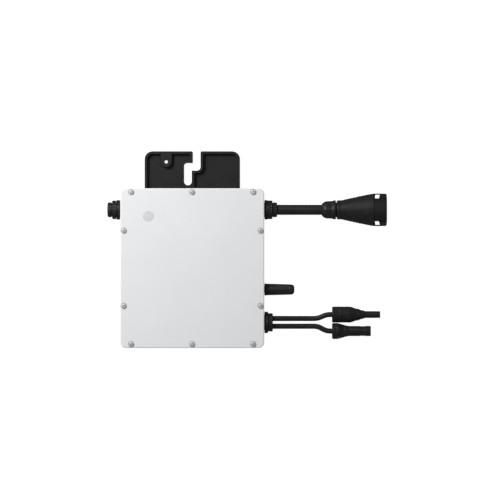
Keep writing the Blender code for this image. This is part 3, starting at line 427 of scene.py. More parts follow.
def flutes(count, depth, low, high, above, power=1.0, run=0.0006):
    """Relief of grooves along the axis, from height low to high, where the skin is further out than above."""

    def relief(height, radius, turn):
        if radius < above:
            return 0.0
        here = min(fade((height - low) / run), fade((high - height) / run))
        return -depth * here * (0.5 - 0.5 * math.cos(count * turn)) ** power

    return relief


def grooves_round(places, width, depth, above, covers=None):
    """Relief of grooves round the axis, at these heights; covers(turn) says from 0 to 1 where they run."""

    def relief(height, radius, turn):
        if radius < above:
            return 0.0
        near = min(abs(height - place) for place in places)
        share = fade(1.0 - max(0.0, near - width * 0.25) / (width * 0.25))
        return -depth * share * (covers(turn) if covers else 1.0)

    return relief


def both(*reliefs):
    return lambda height, radius, turn: sum(relief(height, radius, turn) for relief in reliefs)


def rounded(corners, steps=ARC_STEPS):
    """Outline through corners (x, y, fillet radius), each fillet an arc tangent to both of its sides."""
    outline = []
    for index, (x, y, radius) in enumerate(corners):
        here = Vector((x, y))
        if radius == 0:
            outline.append((x, y))
            continue
        back = (Vector(corners[index - 1][:2]) - here).normalized()
        ahead = (Vector(corners[(index + 1) % len(corners)][:2]) - here).normalized()
        half = back.angle(ahead) / 2
        centre = here + (back + ahead).normalized() * radius / math.sin(half)
        first = here + back * radius / math.tan(half) - centre
        last = here + ahead * radius / math.tan(half) - centre
        start = math.atan2(first.y, first.x)
        sweep = math.atan2(last.y, last.x) - start
        sweep -= math.tau * round(sweep / math.tau)
        for step in range(steps + 1):
            angle = start + sweep * step / steps
            outline.append((centre.x + radius * math.cos(angle), centre.y + radius * math.sin(angle)))
    return outline


def rectangle(low_x, low_y, high_x, high_y, radius=0.0, steps=ARC_STEPS):
    corners = ((low_x, low_y), (high_x, low_y), (high_x, high_y), (low_x, high_y))
    return rounded([(x, y, radius) for x, y in corners], steps)


def circle(x, y, radius, steps=24):
    turns = [math.tau * step / steps for step in range(steps)]
    return [(x + radius * math.cos(turn), y + radius * math.sin(turn)) for turn in turns]


def add_layers(work, layers):
    """Adds a closed solid through outlines (z, outline), which all have the same number of points."""
    loops = [[work.verts.new((x, y, z)) for x, y in outline] for z, outline in layers]
    for first, second in zip(loops, loops[1:]):
        skin(work, first, second)
    work.faces.new(loops[0])
    work.faces.new(loops[-1])


def layered(name, layers, material=None):
    work = bmesh.new()
    add_layers(work, layers)
    return from_work(name, work, material)


def prism(name, outline, low, high, material=None):
    return layered(name, [(low, outline), (high, outline)], material)


def prisms(name, shapes):
    """Several separate extrusions (outline, low, high) in one object, for use as a cutter."""
    work = bmesh.new()
    for outline, low, high in shapes:
        add_layers(work, [(low, outline), (high, outline)])
    return from_work(name, work, None)


def boolean(piece, others, operation):
    """Cuts the others from the piece or joins them to it, and removes them."""
    for other in others:
        modifier = piece.modifiers.new("boolean", "BOOLEAN")
        modifier.operation = operation
        modifier.solver = "EXACT"
        modifier.object = other
    bpy.context.view_layer.update()
    graph = bpy.context.evaluated_depsgraph_get()
    mesh = bpy.data.meshes.new_from_object(piece.evaluated_get(graph))
    piece.modifiers.clear()
    piece.data = mesh
    for other in others:
        bpy.data.objects.remove(other)
    mesh.shade_smooth()
    mesh.set_sharp_from_angle(angle=SHARP_ANGLE)
    return piece


def cut(piece, *others):
    return boolean(piece, others, "DIFFERENCE")


def join(piece, *others):
    return boolean(piece, others, "UNION")


def round_edges(piece, width, segments=3, angle=SHARP_ANGLE):
    bevel = piece.modifiers.new("edges", "BEVEL")
    bevel.width = width
    bevel.segments = segments
    bevel.limit_method = "ANGLE"
    bevel.angle_limit = angle
    weights = piece.modifiers.new("normals", "WEIGHTED_NORMAL")
    weights.keep_sharp = True
    return piece


# Leads


def between(first, last, first_knot, last_knot, knot):
    span = last_knot - first_knot
    return first * ((last_knot - knot) / span) + last * ((knot - first_knot) / span)


def smooth_route(route, count):
    """Even points on the centripetal curve through a lead's route points."""
    route = [Vector(point) for point in route]
    fine = []
    padded = [route[0] * 2 - route[1], *route, route[-1] * 2 - route[-2]]
    for before, start, end, after in zip(padded, padded[1:], padded[2:], padded[3:]):
        knots = [0.0]
        for left, right in ((before, start), (start, end), (end, after)):
            knots.append(knots[-1] + math.sqrt((right - left).length))
        t0, t1, t2, t3 = knots
        for step in range(20):
            t = t1 + (t2 - t1) * step / 20
            a1 = between(before, start, t0, t1, t)
            a2 = between(start, end, t1, t2, t)
            a3 = between(end, after, t2, t3, t)
            fine.append(between(between(a1, a2, t0, t2, t), between(a2, a3, t1, t3, t), t1, t2, t))
    fine.append(route[-1])
    lengths = [0.0]
    for left, right in zip(fine, fine[1:]):
        lengths.append(lengths[-1] + (right - left).length)
    even = []
    place = 0
    for step in range(count):
        wanted = lengths[-1] * step / (count - 1)
        while place < len(fine) - 2 and lengths[place + 1] < wanted:
            place += 1
        share = (wanted - lengths[place]) / (lengths[place + 1] - lengths[place])
        even.append(fine[place].lerp(fine[place + 1], share))
    return even, lengths[-1]


def lead(name, route, count, radius, node):
    points, length = smooth_route(route, count)
    curve = bpy.data.curves.new(name, "CURVE")
    curve.dimensions = "3D"
    curve.bevel_depth = radius
    curve.bevel_resolution = 7
    curve.use_fill_caps = True
    spline = curve.splines.new("POLY")
    spline.points.add(len(points) - 1)
    for target, point in zip(spline.points, points):
        target.co = (*point, 1.0)
    spline.use_smooth = True
    made = bpy.data.objects.new(name, curve)
    bpy.context.scene.collection.objects.link(made)
    curve.materials.append(jacket_black)
    settle(made, node)
    return made, length


AC_CABLE_RADIUS = 0.0058
DC_LEAD_RADIUS = 0.003
BORE_GAP = 0.0003  # between a cable and the hole that it passes through
AC_BORE = (AC_CABLE_RADIUS + BORE_GAP) / MM
DC_BORE = (DC_LEAD_RADIUS + BORE_GAP) / MM
AC_CABLE_ENDS = (0.0765, 0.1820)
DC_LEAD_START_X = 0.0770
DC_CONNECTOR_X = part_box("dc_positive_nut")[0].x
DC_CONNECTOR_Z = middle("dc_positive_nut").z
DC_POSITIVE_Y = middle("dc_positive_nut").y
DC_NEGATIVE_Y = middle("dc_negative_nut").y
DC_Y = middle("dc_gland_body").y
LEAD_SPREAD = 0.0044
BEND_START_X = 0.1385
BEND_END_X = 0.1575
BEND_STEPS = 3
AC_POINTS = 24
DC_POINTS = 40


def dc_lead_route(side, connector_y, end_x):
    """From the gland out and down to the surface, then over to the connector's axis in two equal arcs."""
    start_y = DC_Y + side * LEAD_SPREAD
    swing = connector_y - start_y
    length = BEND_END_X - BEND_START_X
    radius = (length**2 + swing**2) / (4 * abs(swing))
    low = DC_CONNECTOR_Z
    points = [
        (DC_LEAD_START_X, start_y, PORT_Z), (0.0930, start_y, PORT_Z), (0.1050, start_y, PORT_Z - 0.0010),
        (0.1210, start_y, low + 0.0016), (0.1330, start_y, low + 0.0001),
    ]
    arc = []
    for step in range(BEND_STEPS + 1):
        along = length / 2 * step / BEND_STEPS
        arc.append((along, math.copysign(radius - math.sqrt(radius**2 - along**2), swing)))
    points += [(BEND_START_X + along, start_y + rise, low) for along, rise in arc]
    points += [(BEND_END_X - along, connector_y - rise, low) for along, rise in reversed(arc[:-1])]
    return [*points, (0.1650, connector_y, low), (end_x, connector_y, low)]


AC_ROUTE_X = [AC_CABLE_ENDS[0] + (AC_CABLE_ENDS[1] - AC_CABLE_ENDS[0]) * step / 4 for step in range(5)]
ac_cable, ac_cable_length = lead(
    "ac_lead", [(x, AC_Y, PORT_Z) for x in AC_ROUTE_X], AC_POINTS, AC_CABLE_RADIUS, "ac_cable",
)
positive_lead, positive_length = lead(
    "dc_positive_lead", dc_lead_route(1, DC_POSITIVE_Y, DC_CONNECTOR_X + 0.0169), DC_POINTS, DC_LEAD_RADIUS,
    "dc_lead_positive",
)
negative_lead, negative_length = lead(
    "dc_negative_lead", dc_lead_route(-1, DC_NEGATIVE_Y, DC_CONNECTOR_X + 0.0187), DC_POINTS, DC_LEAD_RADIUS,
    "dc_lead_negative",
)


# Case: tray, cover, status window, screws

SCREW_NODES = sorted(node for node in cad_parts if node.startswith("cover_screw_"))
BRACKET_SCREW_NODES = sorted(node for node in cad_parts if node.startswith("bracket_screw_"))
SCREW_SPOTS = [middle(node) for node in SCREW_NODES]
BRACKET_SCREW_SPOTS = [middle(node) for node in BRACKET_SCREW_NODES]
BOARD_SCREW_SPOTS = [middle("board_screw_1"), middle("board_screw_2")]
WALL = 0.0032
FLOOR = 0.006
POST_TOP = 0.009


def case_outline(inset=0.0):
    return rectangle(inset - SIDE_X, inset - SIDE_Y, SIDE_X - inset, SIDE_Y - inset, CASE_CORNER - inset)


def spot_columns(spots, radius, low, high):
    return [(circle(spot.x, spot.y, radius), low, high) for spot in spots]


def port_holes(name):
    """Round holes through the two side walls, along X."""
    work = bmesh.new()
    ports = ((-1, AC_Y, 0.0083), (1, AC_Y, 0.0083), (1, middle("antenna_stub").y, 0.0043), (1, DC_Y, 0.0090))
    for side, y, radius in ports:
        inside = side * (SIDE_X - WALL - 2 * OVERRUN)
        through = [(0, radius), (WALL + 4 * OVERRUN, radius)]
        add_turned(work, through, along_x(inside, y, PORT_Z, side), steps=48)
    return from_work(name, work, None)


def make_tray():
    """Cast tray: rounded back edge, a flange line under the gasket, cooling grooves, boss posts inside."""
    top = case_high.z
    step_z = top - 0.0032
    levels = (
        (0.0, 0.0016), (0.0, 0.0013), (0.0002, 0.0007), (0.0006, 0.00025), (0.0013, 0.0), (step_z, 0.0),
        (step_z + 0.00025, 0.0004), (step_z + 0.0008, 0.0004), (step_z + 0.00105, 0.0), (top - 0.0002, 0.0),
        (top, 0.0002),
    )
    tray = layered("case_tray", [(z, case_outline(inset)) for z, inset in levels], cast_black)
    core = layered("tray_core", [(FLOOR, case_outline(WALL + 0.0004)), (top + OVERRUN, case_outline(WALL))])
    posts = spot_columns(SCREW_SPOTS, 0.0038, FLOOR - OVERRUN, top + 2 * OVERRUN)
    posts += spot_columns(BRACKET_SCREW_SPOTS + BOARD_SCREW_SPOTS, 0.005, FLOOR - 2 * OVERRUN, POST_TOP)
    cut(core, prisms("tray_posts", posts))
    groove_count, pitch, half, depth = 14, 0.009, 0.002, 0.003
    groove_low_y, groove_high_y = -0.080, 0.047
    mouth_levels = ((-OVERRUN, -0.0004), (0.0, -0.0002), (0.0002, 0.0))
    groove_levels = (*mouth_levels, (depth - 0.0006, 0.0), (depth, 0.0006))
    work = bmesh.new()
    for index in range(groove_count):
        x = (index - (groove_count - 1) / 2) * pitch
        layers = []
        for z, shrink in groove_levels:
            width = half - shrink
            ends = (groove_low_y + shrink, groove_high_y - shrink)
            layers.append((z, rectangle(x - width, ends[0], x + width, ends[1], width * 0.97, 6)))
        add_layers(work, layers)
    grooves = from_work("cooling_grooves", work, None)
    low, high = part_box("mounting_bracket")
    past = 0.010
    recess = rectangle(low.x - 0.0003, low.y - 0.0003, high.x + 0.0003, SIDE_Y + past, 0.003)
    cut(
        tray, core, grooves, prism("bracket_recess", recess, -OVERRUN, 0.0033), port_holes("tray_port_holes"),
        prisms("cover_screw_holes", spot_columns(SCREW_SPOTS, 0.0017, 0.0147, top + OVERRUN)),
        prisms("board_screw_holes", spot_columns(BOARD_SCREW_SPOTS, 0.0016, 0.0045, POST_TOP + OVERRUN)),
        prisms("bracket_screw_holes", spot_columns(BRACKET_SCREW_SPOTS, 0.0021, -OVERRUN, 0.0079)),
    )
    settle(tray, "base_tray")


def make_cover():
    """Sheet cover with a rolled edge, a shallow seat round each screw and the status window's hole."""
    top, low = cover_high.z, cover_low.z
    levels = (
        (low, 0.0004), (low + 0.0003, 0.0), (top - 0.0012, 0.0), (top - 0.0007, 0.00012),
        (top - 0.0003, 0.00042), (top - 0.0001, 0.00080), (top, 0.0013), (top, 0.0016),
    )
    cover = layered("cover_sheet", [(z, case_outline(inset)) for z, inset in levels], plate_grey)
    work = bmesh.new()
    for spot in SCREW_SPOTS:
        profile = [
            (low - OVERRUN, 0.0018), (top - 0.0009, 0.0018), (top - 0.0007, 0.0033), (top - 0.0002, 0.0036),
            (top + OVERRUN, 0.0042),
        ]
        add_turned(work, profile, upright(spot.x, spot.y, 0), steps=40)
    seats = from_work("screw_seats", work, None)
    window = middle("status_lens")
    hole_profile = [(low - OVERRUN, 0.0058), (top + OVERRUN, 0.0058)]
    hole = turned("window_hole", hole_profile, upright(window.x, window.y, 0))
    cut(cover, seats, hole)
    settle(cover, "cover_plate")

    flange_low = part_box("status_lens")[0].z
    lens_profile = [
        (flange_low, 0.0), (flange_low, 0.0075), (flange_low + 0.0012, 0.0075),
        (flange_low + 0.0012, 0.00572), (top - 0.00012, 0.00572), (top - 0.00004, 0.0053), (top, 0.0040),
        (top, 0.0),
    ]
    lens = turned("status_window", eased(lens_profile, 0.0002), upright(window.x, window.y, 0), lens_grey)
    settle(lens, "status_lens")


def cross_recess(name, place, reach, arm, low, high):
    """Cutter for a cross drive, whose arms shorten towards its floor."""
    work = bmesh.new()
    loops = []
    for z, share in ((low, 0.5), (high, 1.0), (high + OVERRUN, 1.0)):
        far = reach * share
        quarter = [(far, -arm), (far, arm), (arm, arm)]
        loop = []
        for turn in range(4):
            spin = Matrix.Rotation(turn * math.pi / 2, 3, "Z")
            loop += [work.verts.new(place @ (spin @ Vector((x, y, z)))) for x, y in quarter]
        loops.append(loop)
    for first, second in zip(loops, loops[1:]):
        skin(work, first, second)
    work.faces.new(loops[0])
    work.faces.new(loops[-1])
    return from_work(name, work, None)


def make_cover_screws():
    """Pan head screws in a washer-like collar, each driven home to its own angle."""
    turns = random.Random(7)
    for node, spot in zip(SCREW_NODES, SCREW_SPOTS):
        low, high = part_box(node)
        seat = cover_high.z - 0.0005
        head = high.z - seat
        profile = [
            (low.z - seat, 0.0), (low.z - seat, 0.0007), (low.z - seat + 0.0010, 0.00135), (0.0, 0.00135),
            (0.0, 0.0030), (head * 0.30, 0.0030), (head * 0.52, 0.00292), (head * 0.72, 0.00262),
            (head * 0.88, 0.00205), (head * 0.97, 0.00125), (head, 0.0),
        ]
        place = upright(spot.x, spot.y, seat, turns.uniform(0, math.pi / 2))
        screw = turned(node + "_steel", eased(profile, 0.00015), place, steel, steps=36)
        cut(screw, cross_recess("recess", place, 0.0019, 0.00045, head - 0.0013, head))
        settle(screw, node)


def make_bracket_screws():
    """Countersunk screws seen from the back."""
    turns = random.Random(11)
    for node, spot in zip(BRACKET_SCREW_NODES, BRACKET_SCREW_SPOTS):
        low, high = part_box(node)
        length = high.z - low.z
        profile = [
            (0.0, 0.0), (0.0, 0.0033), (0.00012, 0.0036), (0.0003, 0.0038), (0.0021, 0.0018),
            (length - 0.0009, 0.0018), (length, 0.0011), (length, 0.0),
        ]
        turn = Matrix.Rotation(turns.uniform(0, math.pi / 2), 4, "Z")
        screw = turned(node + "_steel", profile, upright(spot.x, spot.y, low.z) @ turn, steel, steps=36)
        drive = Matrix.Translation((spot.x, spot.y, low.z)) @ turn @ Matrix.Rotation(math.pi, 4, "X")
        cut(screw, cross_recess("recess", drive, 0.0022, 0.00045, -0.0014, 0.0))
        settle(screw, node)


# Mounting bracket

SLOT_WIDTH = 0.0087
SLOT_ENTRY_X = 0.0050
SLOT_SEAT_X = -0.0050
STEP_LOW_Y = 0.1113
STEP_HIGH_Y = 0.1198
SEAT_Y = 0.0945
ENTRY_CORNER = 0.004
SEAT_CORNER = 0.0034
RIM_WIDTH = 0.003
PAD_X = -0.0297
PAD_Y = 0.1212
PAD_HALF = 0.0062
WEB = 0.003


def bracket_outline(half, foot, top):
    entry_low, entry_high = SLOT_ENTRY_X - SLOT_WIDTH / 2, SLOT_ENTRY_X + SLOT_WIDTH / 2
    seat_low, seat_high = SLOT_SEAT_X - SLOT_WIDTH / 2, SLOT_SEAT_X + SLOT_WIDTH / 2
    seat_round = SLOT_WIDTH / 2 - 0.00005
    lip = 0.0006
    mouth = 0.0016
    corner = 0.009
    return rounded(
        [
            (-half, foot, 0.003), (half, foot, 0.003), (half, top, corner), (entry_high, top, mouth),
            (entry_high, STEP_LOW_Y, ENTRY_CORNER), (seat_high, STEP_LOW_Y, lip),
            (seat_high, SEAT_Y, seat_round), (seat_low, SEAT_Y, seat_round),
            (seat_low, STEP_HIGH_Y, SEAT_CORNER), (entry_low, STEP_HIGH_Y, lip), (entry_low, top, mouth),
            (-half, top, corner),
        ],
        6,
    )


def left_pocket(half, top, rim):
    """Floor left of the slot, with the rim all round it and a U-shaped pad hanging from the top rim."""
    inner = half - rim
    under = top - rim
    beside_seat = SLOT_SEAT_X - SLOT_WIDTH / 2 - rim
    beside_entry = SLOT_ENTRY_X - SLOT_WIDTH / 2 - rim
    over_step = STEP_HIGH_Y + rim
    pad_half = PAD_HALF + rim - RIM_WIDTH
    pad_low = PAD_Y - pad_half
    pad_round = pad_half - 0.00005
    foot = SIDE_Y - OVERRUN
    return rounded(
        [
            (-inner, foot, 0.0001), (beside_seat, foot, 0.0001),
            (beside_seat, over_step, SEAT_CORNER + 0.002), (beside_entry, over_step, 0.001),
            (beside_entry, under, 0.0015), (PAD_X + pad_half, under, 0.001),
            (PAD_X + pad_half, pad_low, pad_round), (PAD_X - pad_half, pad_low, pad_round),
            (PAD_X - pad_half, under, 0.001), (-inner, under, 0.006),
        ],
        6,
    )


def right_pocket(half, top, rim):
    """Floor right of the slot: its rim follows the entry channel, its step and the seat."""
    inner = half - rim
    under = top - rim
    beside_entry = SLOT_ENTRY_X + SLOT_WIDTH / 2 + rim
    beside_seat = SLOT_SEAT_X + SLOT_WIDTH / 2 + rim
    under_step = STEP_LOW_Y - rim
    foot = SIDE_Y - OVERRUN
    return rounded(
        [
            (beside_seat, foot, 0.0001), (inner, foot, 0.0001), (inner, under, 0.006),
            (beside_entry, under, 0.0015), (beside_entry, under_step, ENTRY_CORNER + rim),
            (beside_seat, under_step, 0.001),
        ],
        6,
    )


def drafted(name, outline_for, low, high, slope=0.0005):
    """A pocket cutter whose walls lean out a little towards its mouth, with a filleted floor."""
    layers = [
        (low, outline_for(RIM_WIDTH + slope + 0.0004)),
        (low + 0.00012, outline_for(RIM_WIDTH + slope + 0.00015)),
        (low + 0.0004, outline_for(RIM_WIDTH + slope)), (high, outline_for(RIM_WIDTH)),
        (high + OVERRUN, outline_for(RIM_WIDTH - 0.0001)),
    ]
    return layered(name, layers)


def make_bracket():
    low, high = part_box("mounting_bracket")
    half, foot, top, rim_top = high.x, low.y, high.y, high.z
    bracket = prism("bracket_casting", bracket_outline(half, foot, top), 0, rim_top, cast_black)
    beside = half + OVERRUN
    tongue_top = rectangle(-beside, foot - OVERRUN, beside, SIDE_Y + 0.0003)
    above = rim_top + OVERRUN
    countersinks = bmesh.new()
    for spot in BRACKET_SCREW_SPOTS:
        profile = [(-OVERRUN, 0.0044), (0.0007, 0.0044), (0.0027, 0.0021), (WEB + OVERRUN, 0.0021)]
        add_turned(countersinks, profile, upright(spot.x, spot.y, 0), steps=32)
    cut(
        bracket, prism("tongue_top", tongue_top, WEB, above),
        drafted("left_pocket", lambda rim: left_pocket(half, top, rim), WEB, rim_top),
        drafted("right_pocket", lambda rim: right_pocket(half, top, rim), WEB, rim_top),
        prisms("pad_hole", [(circle(PAD_X, PAD_Y, 0.00185, 32), -OVERRUN, above)]),
        from_work("countersinks", countersinks, None),
    )
    round_edges(bracket, 0.00035, 2)
    settle(bracket, "mounting_bracket")


# AC side


def make_ac_port():
    """Chassis port on the left, its cap and the cap's coupling ring."""
    axis = along_x(-SIDE_X, AC_Y, PORT_Z, -1)
    profile = [
        (-5.5, 8), (0.3, 8), (0.3, 10.9), (1.2, 11.1), (4.1, 11.1), (4.3, 10.9), (4.3, 8.6), (7.9, 8.6),
        (7.9, 6.8), (-5.5, 6.8),
    ]
    body = moulding(
        "port_shell", profile, axis, 0.0009, 144, flutes(36, 0.0002, 0.0012, 0.0036, 0.0105, 0.7), ease=0.25,
    )
    settle(body, "ac_port_body")

    knob = eased(
        [
            (-0.0010, 0.0050), (-0.0010, 0.0060), (-0.0004, 0.0062), (0.0082, 0.0062), (0.0082, 0.0084),
            (0.0088, 0.0084), (0.0088, 0.0072), (0.0097, 0.0072), (0.0097, 0.0081), (0.0100, 0.0085),
            (0.0132, 0.0085), (0.0141, 0.0081), (0.0145, 0.0073), (0.0147, 0.0060), (0.0148, 0.0044),
            (0.0149, 0.0028), (0.0149, 0.0),
        ],
        0.0003,
    )
    inner = [(0.0085, 0.0), (0.0085, 0.0050)]
    cap = turned(
        "port_cap", refined([*inner, *knob], 0.0008), axis, moulded_black,
        steps=160, relief=flutes(20, 0.00032, 0.0100, 0.0140, 0.0079, 1.6),
    )
    settle(cap, "ac_cap", body="ac_cap")

    profile = [
        (4.6, 8.9), (4.6, 10.5), (4.7, 10.6), (8.4, 10.6), (9.4, 9.8), (9.4, 7.5), (9.1, 7.5), (9.1, 8.9),
    ]
    ring = moulding(
        "port_cap_ring", profile, axis, 0.0006, 168,
        flutes(24, 0.0003, 0.0050, 0.0090, 0.0098, 0.6), ease=0.2,
    )
    settle(ring, "ac_cap_ring", body="ac_cap_ring")


def make_ac_gland():
    axis = along_x(SIDE_X, AC_Y, PORT_Z)
    profile = [
        (-5.5, AC_BORE), (-5.5, 8), (0.3, 8), (0.3, 10.8), (0.6, 11), (3.8, 11), (4.1, 10.6), (4.4, 10.5),
        (4.8, 10.6), (8.8, 10.6), (9.3, 10.1), (9.3, 6.9), (12.4, 6.9), (12.4, AC_BORE),
    ]
    ribs = flutes(24, 0.0004, 0.0048, 0.0089, 0.0099, 0.6)
    hold = flutes(36, 0.0003, 0.0008, 0.0038, 0.01085, 0.7)
    body = moulding("gland_shell", profile, axis, 0.0006, 168, both(ribs, hold), ease=0.2)
    settle(body, "ac_gland_body")
    profile = [
        
        (9.4, 7.2), (9.4, 8.3), (9.6, 8.5), (13.4, 8.5), (14.2, 8.1), (14.7, 7.4), (14.7, AC_BORE),
        (12.8, AC_BORE),
        (12.8, 7.2),
    ]
    nut = moulding(
        "gland_nut", profile, axis, 0.0006, 144, flutes(18, 0.0004, 0.0097, 0.0138, 0.0079, 0.7), ease=0.2,
    )
    settle(nut, "ac_gland_nut")


# The coupler's flared shell: X, half width in Y and half height in Z, from the neck to the collar
SHELL_STATIONS = (
    (0.1653, 0.0109, 0.0108), (0.1697, 0.0109, 0.0109), (0.1741, 0.0120, 0.0114), (0.1797, 0.0133, 0.0120),
    (0.1856, 0.0145, 0.0126), (0.1911, 0.0158, 0.0132), (0.1971, 0.0169, 0.0139), (0.2026, 0.0179, 0.0146),
    (0.2067, 0.01855, 0.0150),
)
COLLAR_RADIUS = 0.015
EAR_HALF = 0.01855


def shell_size(x):
    """Half width and half height of the flared shell at X, easing between its stations."""
    for (x0, wide0, tall0), (x1, wide1, tall1) in zip(SHELL_STATIONS, SHELL_STATIONS[1:]):
        if x <= x1:
            share = (x - x0) / (x1 - x0)
            return wide0 + (wide1 - wide0) * share, tall0 + (tall1 - tall0) * share
    return SHELL_STATIONS[-1][1:]


def make_coupler_shell():
    """Flared shell with grip ribs on its two flanks, two ears with latch windows, and a round collar."""
    steps = 96
    start, end = SHELL_STATIONS[0][0], SHELL_STATIONS[-1][0]
    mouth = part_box("ac_plug_shell")[1].x
    neck = 0.0085
    grip_from, grip_to, grip_pitch, grip_depth = 0.1710, 0.1990, 0.0034, 0.00028
    stations = [(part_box("ac_plug_shell")[0].x, neck, neck, 0.0), (start - 0.0006, neck, neck, 0.0)]
    stations += [(start - 0.0003, 0.0105, 0.0105, 0.0), (start, 0.0108, 0.0107, 0.0)]
    count = 84
    for index in range(1, count + 1):
        x = start + (end - start) * index / count
        wide, tall = shell_size(x)
        phase = (x - grip_from) / grip_pitch
        inside = min(fade((x - grip_from) / 0.0012), fade((grip_to - x) / 0.0012))
        stations.append((x, wide, tall, grip_depth * inside * fade(math.sin(phase * math.tau) * 2.5 - 0.2)))
    groove = 0.00045
    stations += [
        (end + 0.0001, COLLAR_RADIUS - groove, COLLAR_RADIUS - groove, 0.0),
        (end + 0.0007, COLLAR_RADIUS - groove, COLLAR_RADIUS - groove, 0.0),
        (end + 0.0009, COLLAR_RADIUS, COLLAR_RADIUS, 0.0),
        (mouth - 0.0026, COLLAR_RADIUS, COLLAR_RADIUS, 0.0),
        (mouth - 0.0024, COLLAR_RADIUS - 0.0003, COLLAR_RADIUS - 0.0003, 0.0),
        (mouth - 0.0018, COLLAR_RADIUS - 0.0003, COLLAR_RADIUS - 0.0003, 0.0),
        (mouth - 0.0016, COLLAR_RADIUS, COLLAR_RADIUS, 0.0),
        (mouth - 0.0004, COLLAR_RADIUS, COLLAR_RADIUS, 0.0),
        (mouth, COLLAR_RADIUS - 0.0004, COLLAR_RADIUS - 0.0004, 0.0),
    ]
    work = bmesh.new()
    loops = []
    for x, wide, tall, dip in stations:
        loop = []
        for step in range(steps):
            turn = math.tau * step / steps
            flank = fade((abs(math.cos(turn)) - 0.62) / 0.18)
            shrink = dip * flank
            y = AC_Y + (wide - shrink) * math.cos(turn)
            loop.append(work.verts.new((x, y, PORT_Z + (tall - shrink) * math.sin(turn))))
        loops.append(loop)
    for first, second in zip(loops, loops[1:]):
        skin(work, first, second)
    work.faces.new(loops[0])
    work.faces.new(loops[-1])
    shell = from_work("coupler_shell", work, moulded_black)

    half_ear = 0.006
    ear_outline = rounded(
        [
            (0.2035, AC_Y - EAR_HALF + 0.0006, 0), (0.2072, AC_Y - EAR_HALF, 0.0004),
            (mouth - 0.0002, AC_Y - EAR_HALF, 0.0022), (mouth - 0.0002, AC_Y + EAR_HALF, 0.0022),
            (0.2072, AC_Y + EAR_HALF, 0.0004), (0.2035, AC_Y + EAR_HALF - 0.0006, 0),
        ],
        6,
    )
    shrunk = [(AC_Y + (y - AC_Y) * 0.982, x) for x, y in ear_outline]
    narrow = [(x - 0.0003 * (x > 0.21), y) for y, x in shrunk]
    ears = layered(
        "coupler_ears",
        [
            (PORT_Z - half_ear, narrow), (PORT_Z - half_ear + 0.0004, ear_outline),
            (PORT_Z + half_ear - 0.0004, ear_outline), (PORT_Z + half_ear, narrow),
        ],
    )
    windows = []
    for side in (1, -1):
        corners = [(0.2082, 0.0131), (0.2127, 0.0131), (0.2137, 0.0171), (0.2086, 0.0171)]
        outline = [(x, AC_Y + side * offset) for x, offset in corners]
        windows.append((outline if side > 0 else outline[::-1], -OVERRUN, PORT_Z * 2 + 2 * OVERRUN))
    bore = AC_CABLE_RADIUS + BORE_GAP
    hollow_profile = [
        (0.1476, bore), (0.1820, bore), (0.1820, 0.0093), (0.2067, 0.0093), (0.2067, 0.0115),
        (mouth - 0.0009, 0.0115), (mouth - 0.0002, 0.0119), (mouth + OVERRUN, 0.0127),
    ]
    hollow = turned("coupler_hollow", hollow_profile, along_x(0, AC_Y, PORT_Z), steps=96)
    join(shell, ears)
    cut(shell, hollow, prisms("latch_windows", windows))
    settle(shell, "ac_plug_shell")
    return shell


def make_coupler():
    """Domed compression nut, shell and contact carrier on the end of the AC cable."""
    nut_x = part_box("ac_plug_nut")[0].x
    profile = [
        
        (0, AC_BORE), (0, 6.6), (0.8, 7.5), (2, 8.5), (3.2, 9.2), (4.6, 9.7), (6, 9.9), (11.4, 10),
        (13.4, 10.7),
        (14.4, 10.9), (15.8, 10.9), (16.1, 10.6), (16.1, 8.8), (6.5, 8.8), (6.5, AC_BORE),
    ]
    nut = moulding(
        "coupler_nut", profile, along_x(nut_x, AC_Y, PORT_Z), 0.0006, 160,
        flutes(16, 0.0003, 0.0026, 0.0140, 0.0085, 0.55, 0.0016),
    )
    settle(nut, "ac_plug_nut")
    shell = make_coupler_shell()
    insert_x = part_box("ac_plug_insert")[0].x
    nose_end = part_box("ac_plug_insert")[1].x - insert_x
    core_profile = eased(
        [
            (0.0, 0.0), (0.0, 0.0090), (0.0237, 0.0090), (0.0241, 0.0086), (0.0241, 0.0062), (0.0270, 0.0062),
            (0.0272, 0.0060), (0.0278, 0.0060), (0.0280, 0.0062), (nose_end - 0.0005, 0.0062),
            (nose_end, 0.0057), (nose_end, 0.0),
        ],
        0.00015,
    )
    core = turned("coupler_core", core_profile, along_x(insert_x, AC_Y, PORT_Z), contact_black)
    work = bmesh.new()
    contact_circle = 0.0031
    for index in range(3):
        turn = math.tau * index / 3
        y = AC_Y + contact_circle * math.sin(turn)
        z = PORT_Z + contact_circle * math.cos(turn)
        place = along_x(insert_x + nose_end - 0.009, y, z)
        add_turned(work, [(0, 0.0012), (0.0087, 0.0012), (0.0096, 0.0019)], place, steps=24)
    cut(core, from_work("socket_holes", work, None))
    settle(core, "ac_plug_insert")
    return [nut, shell, core]


# Antenna and DC side


def make_antenna():
    profile = [
        (-5.5, 0), (-5.5, 4), (0.3, 4), (0.3, 6.9), (1.2, 7), (2.2, 6.6), (7.4, 6.5), (7.6, 6.3), (8, 6.3),
        (8.2, 6.5), (15, 6.3), (23.6, 6.1), (30.4, 5.9), (32.4, 5.5), (33.8, 4.5), (34.4, 2.8), (34.5, 0),
    ]
    place = along_x(SIDE_X, middle("antenna_stub").y, PORT_Z)
    ribs = flutes(8, 0.0003, 0.0086, 0.0300, 0.0050, 2.0, 0.003)
    antenna = moulding(
        
        "antenna_cap", profile, place, 0.001, 96, ribs, ring=False, ease=0.6, ease_steps=4,
        material=antenna_black,
    )
    settle(antenna, "antenna_stub")


def lead_bores(name, low, high):
    bore = DC_LEAD_RADIUS + BORE_GAP
    work = bmesh.new()
    for side in (1, -1):
        place = along_x(low, DC_Y + side * LEAD_SPREAD, PORT_Z)
        add_turned(work, [(0, bore), (high - low, bore)], place, steps=32)
    return from_work(name, work, None)


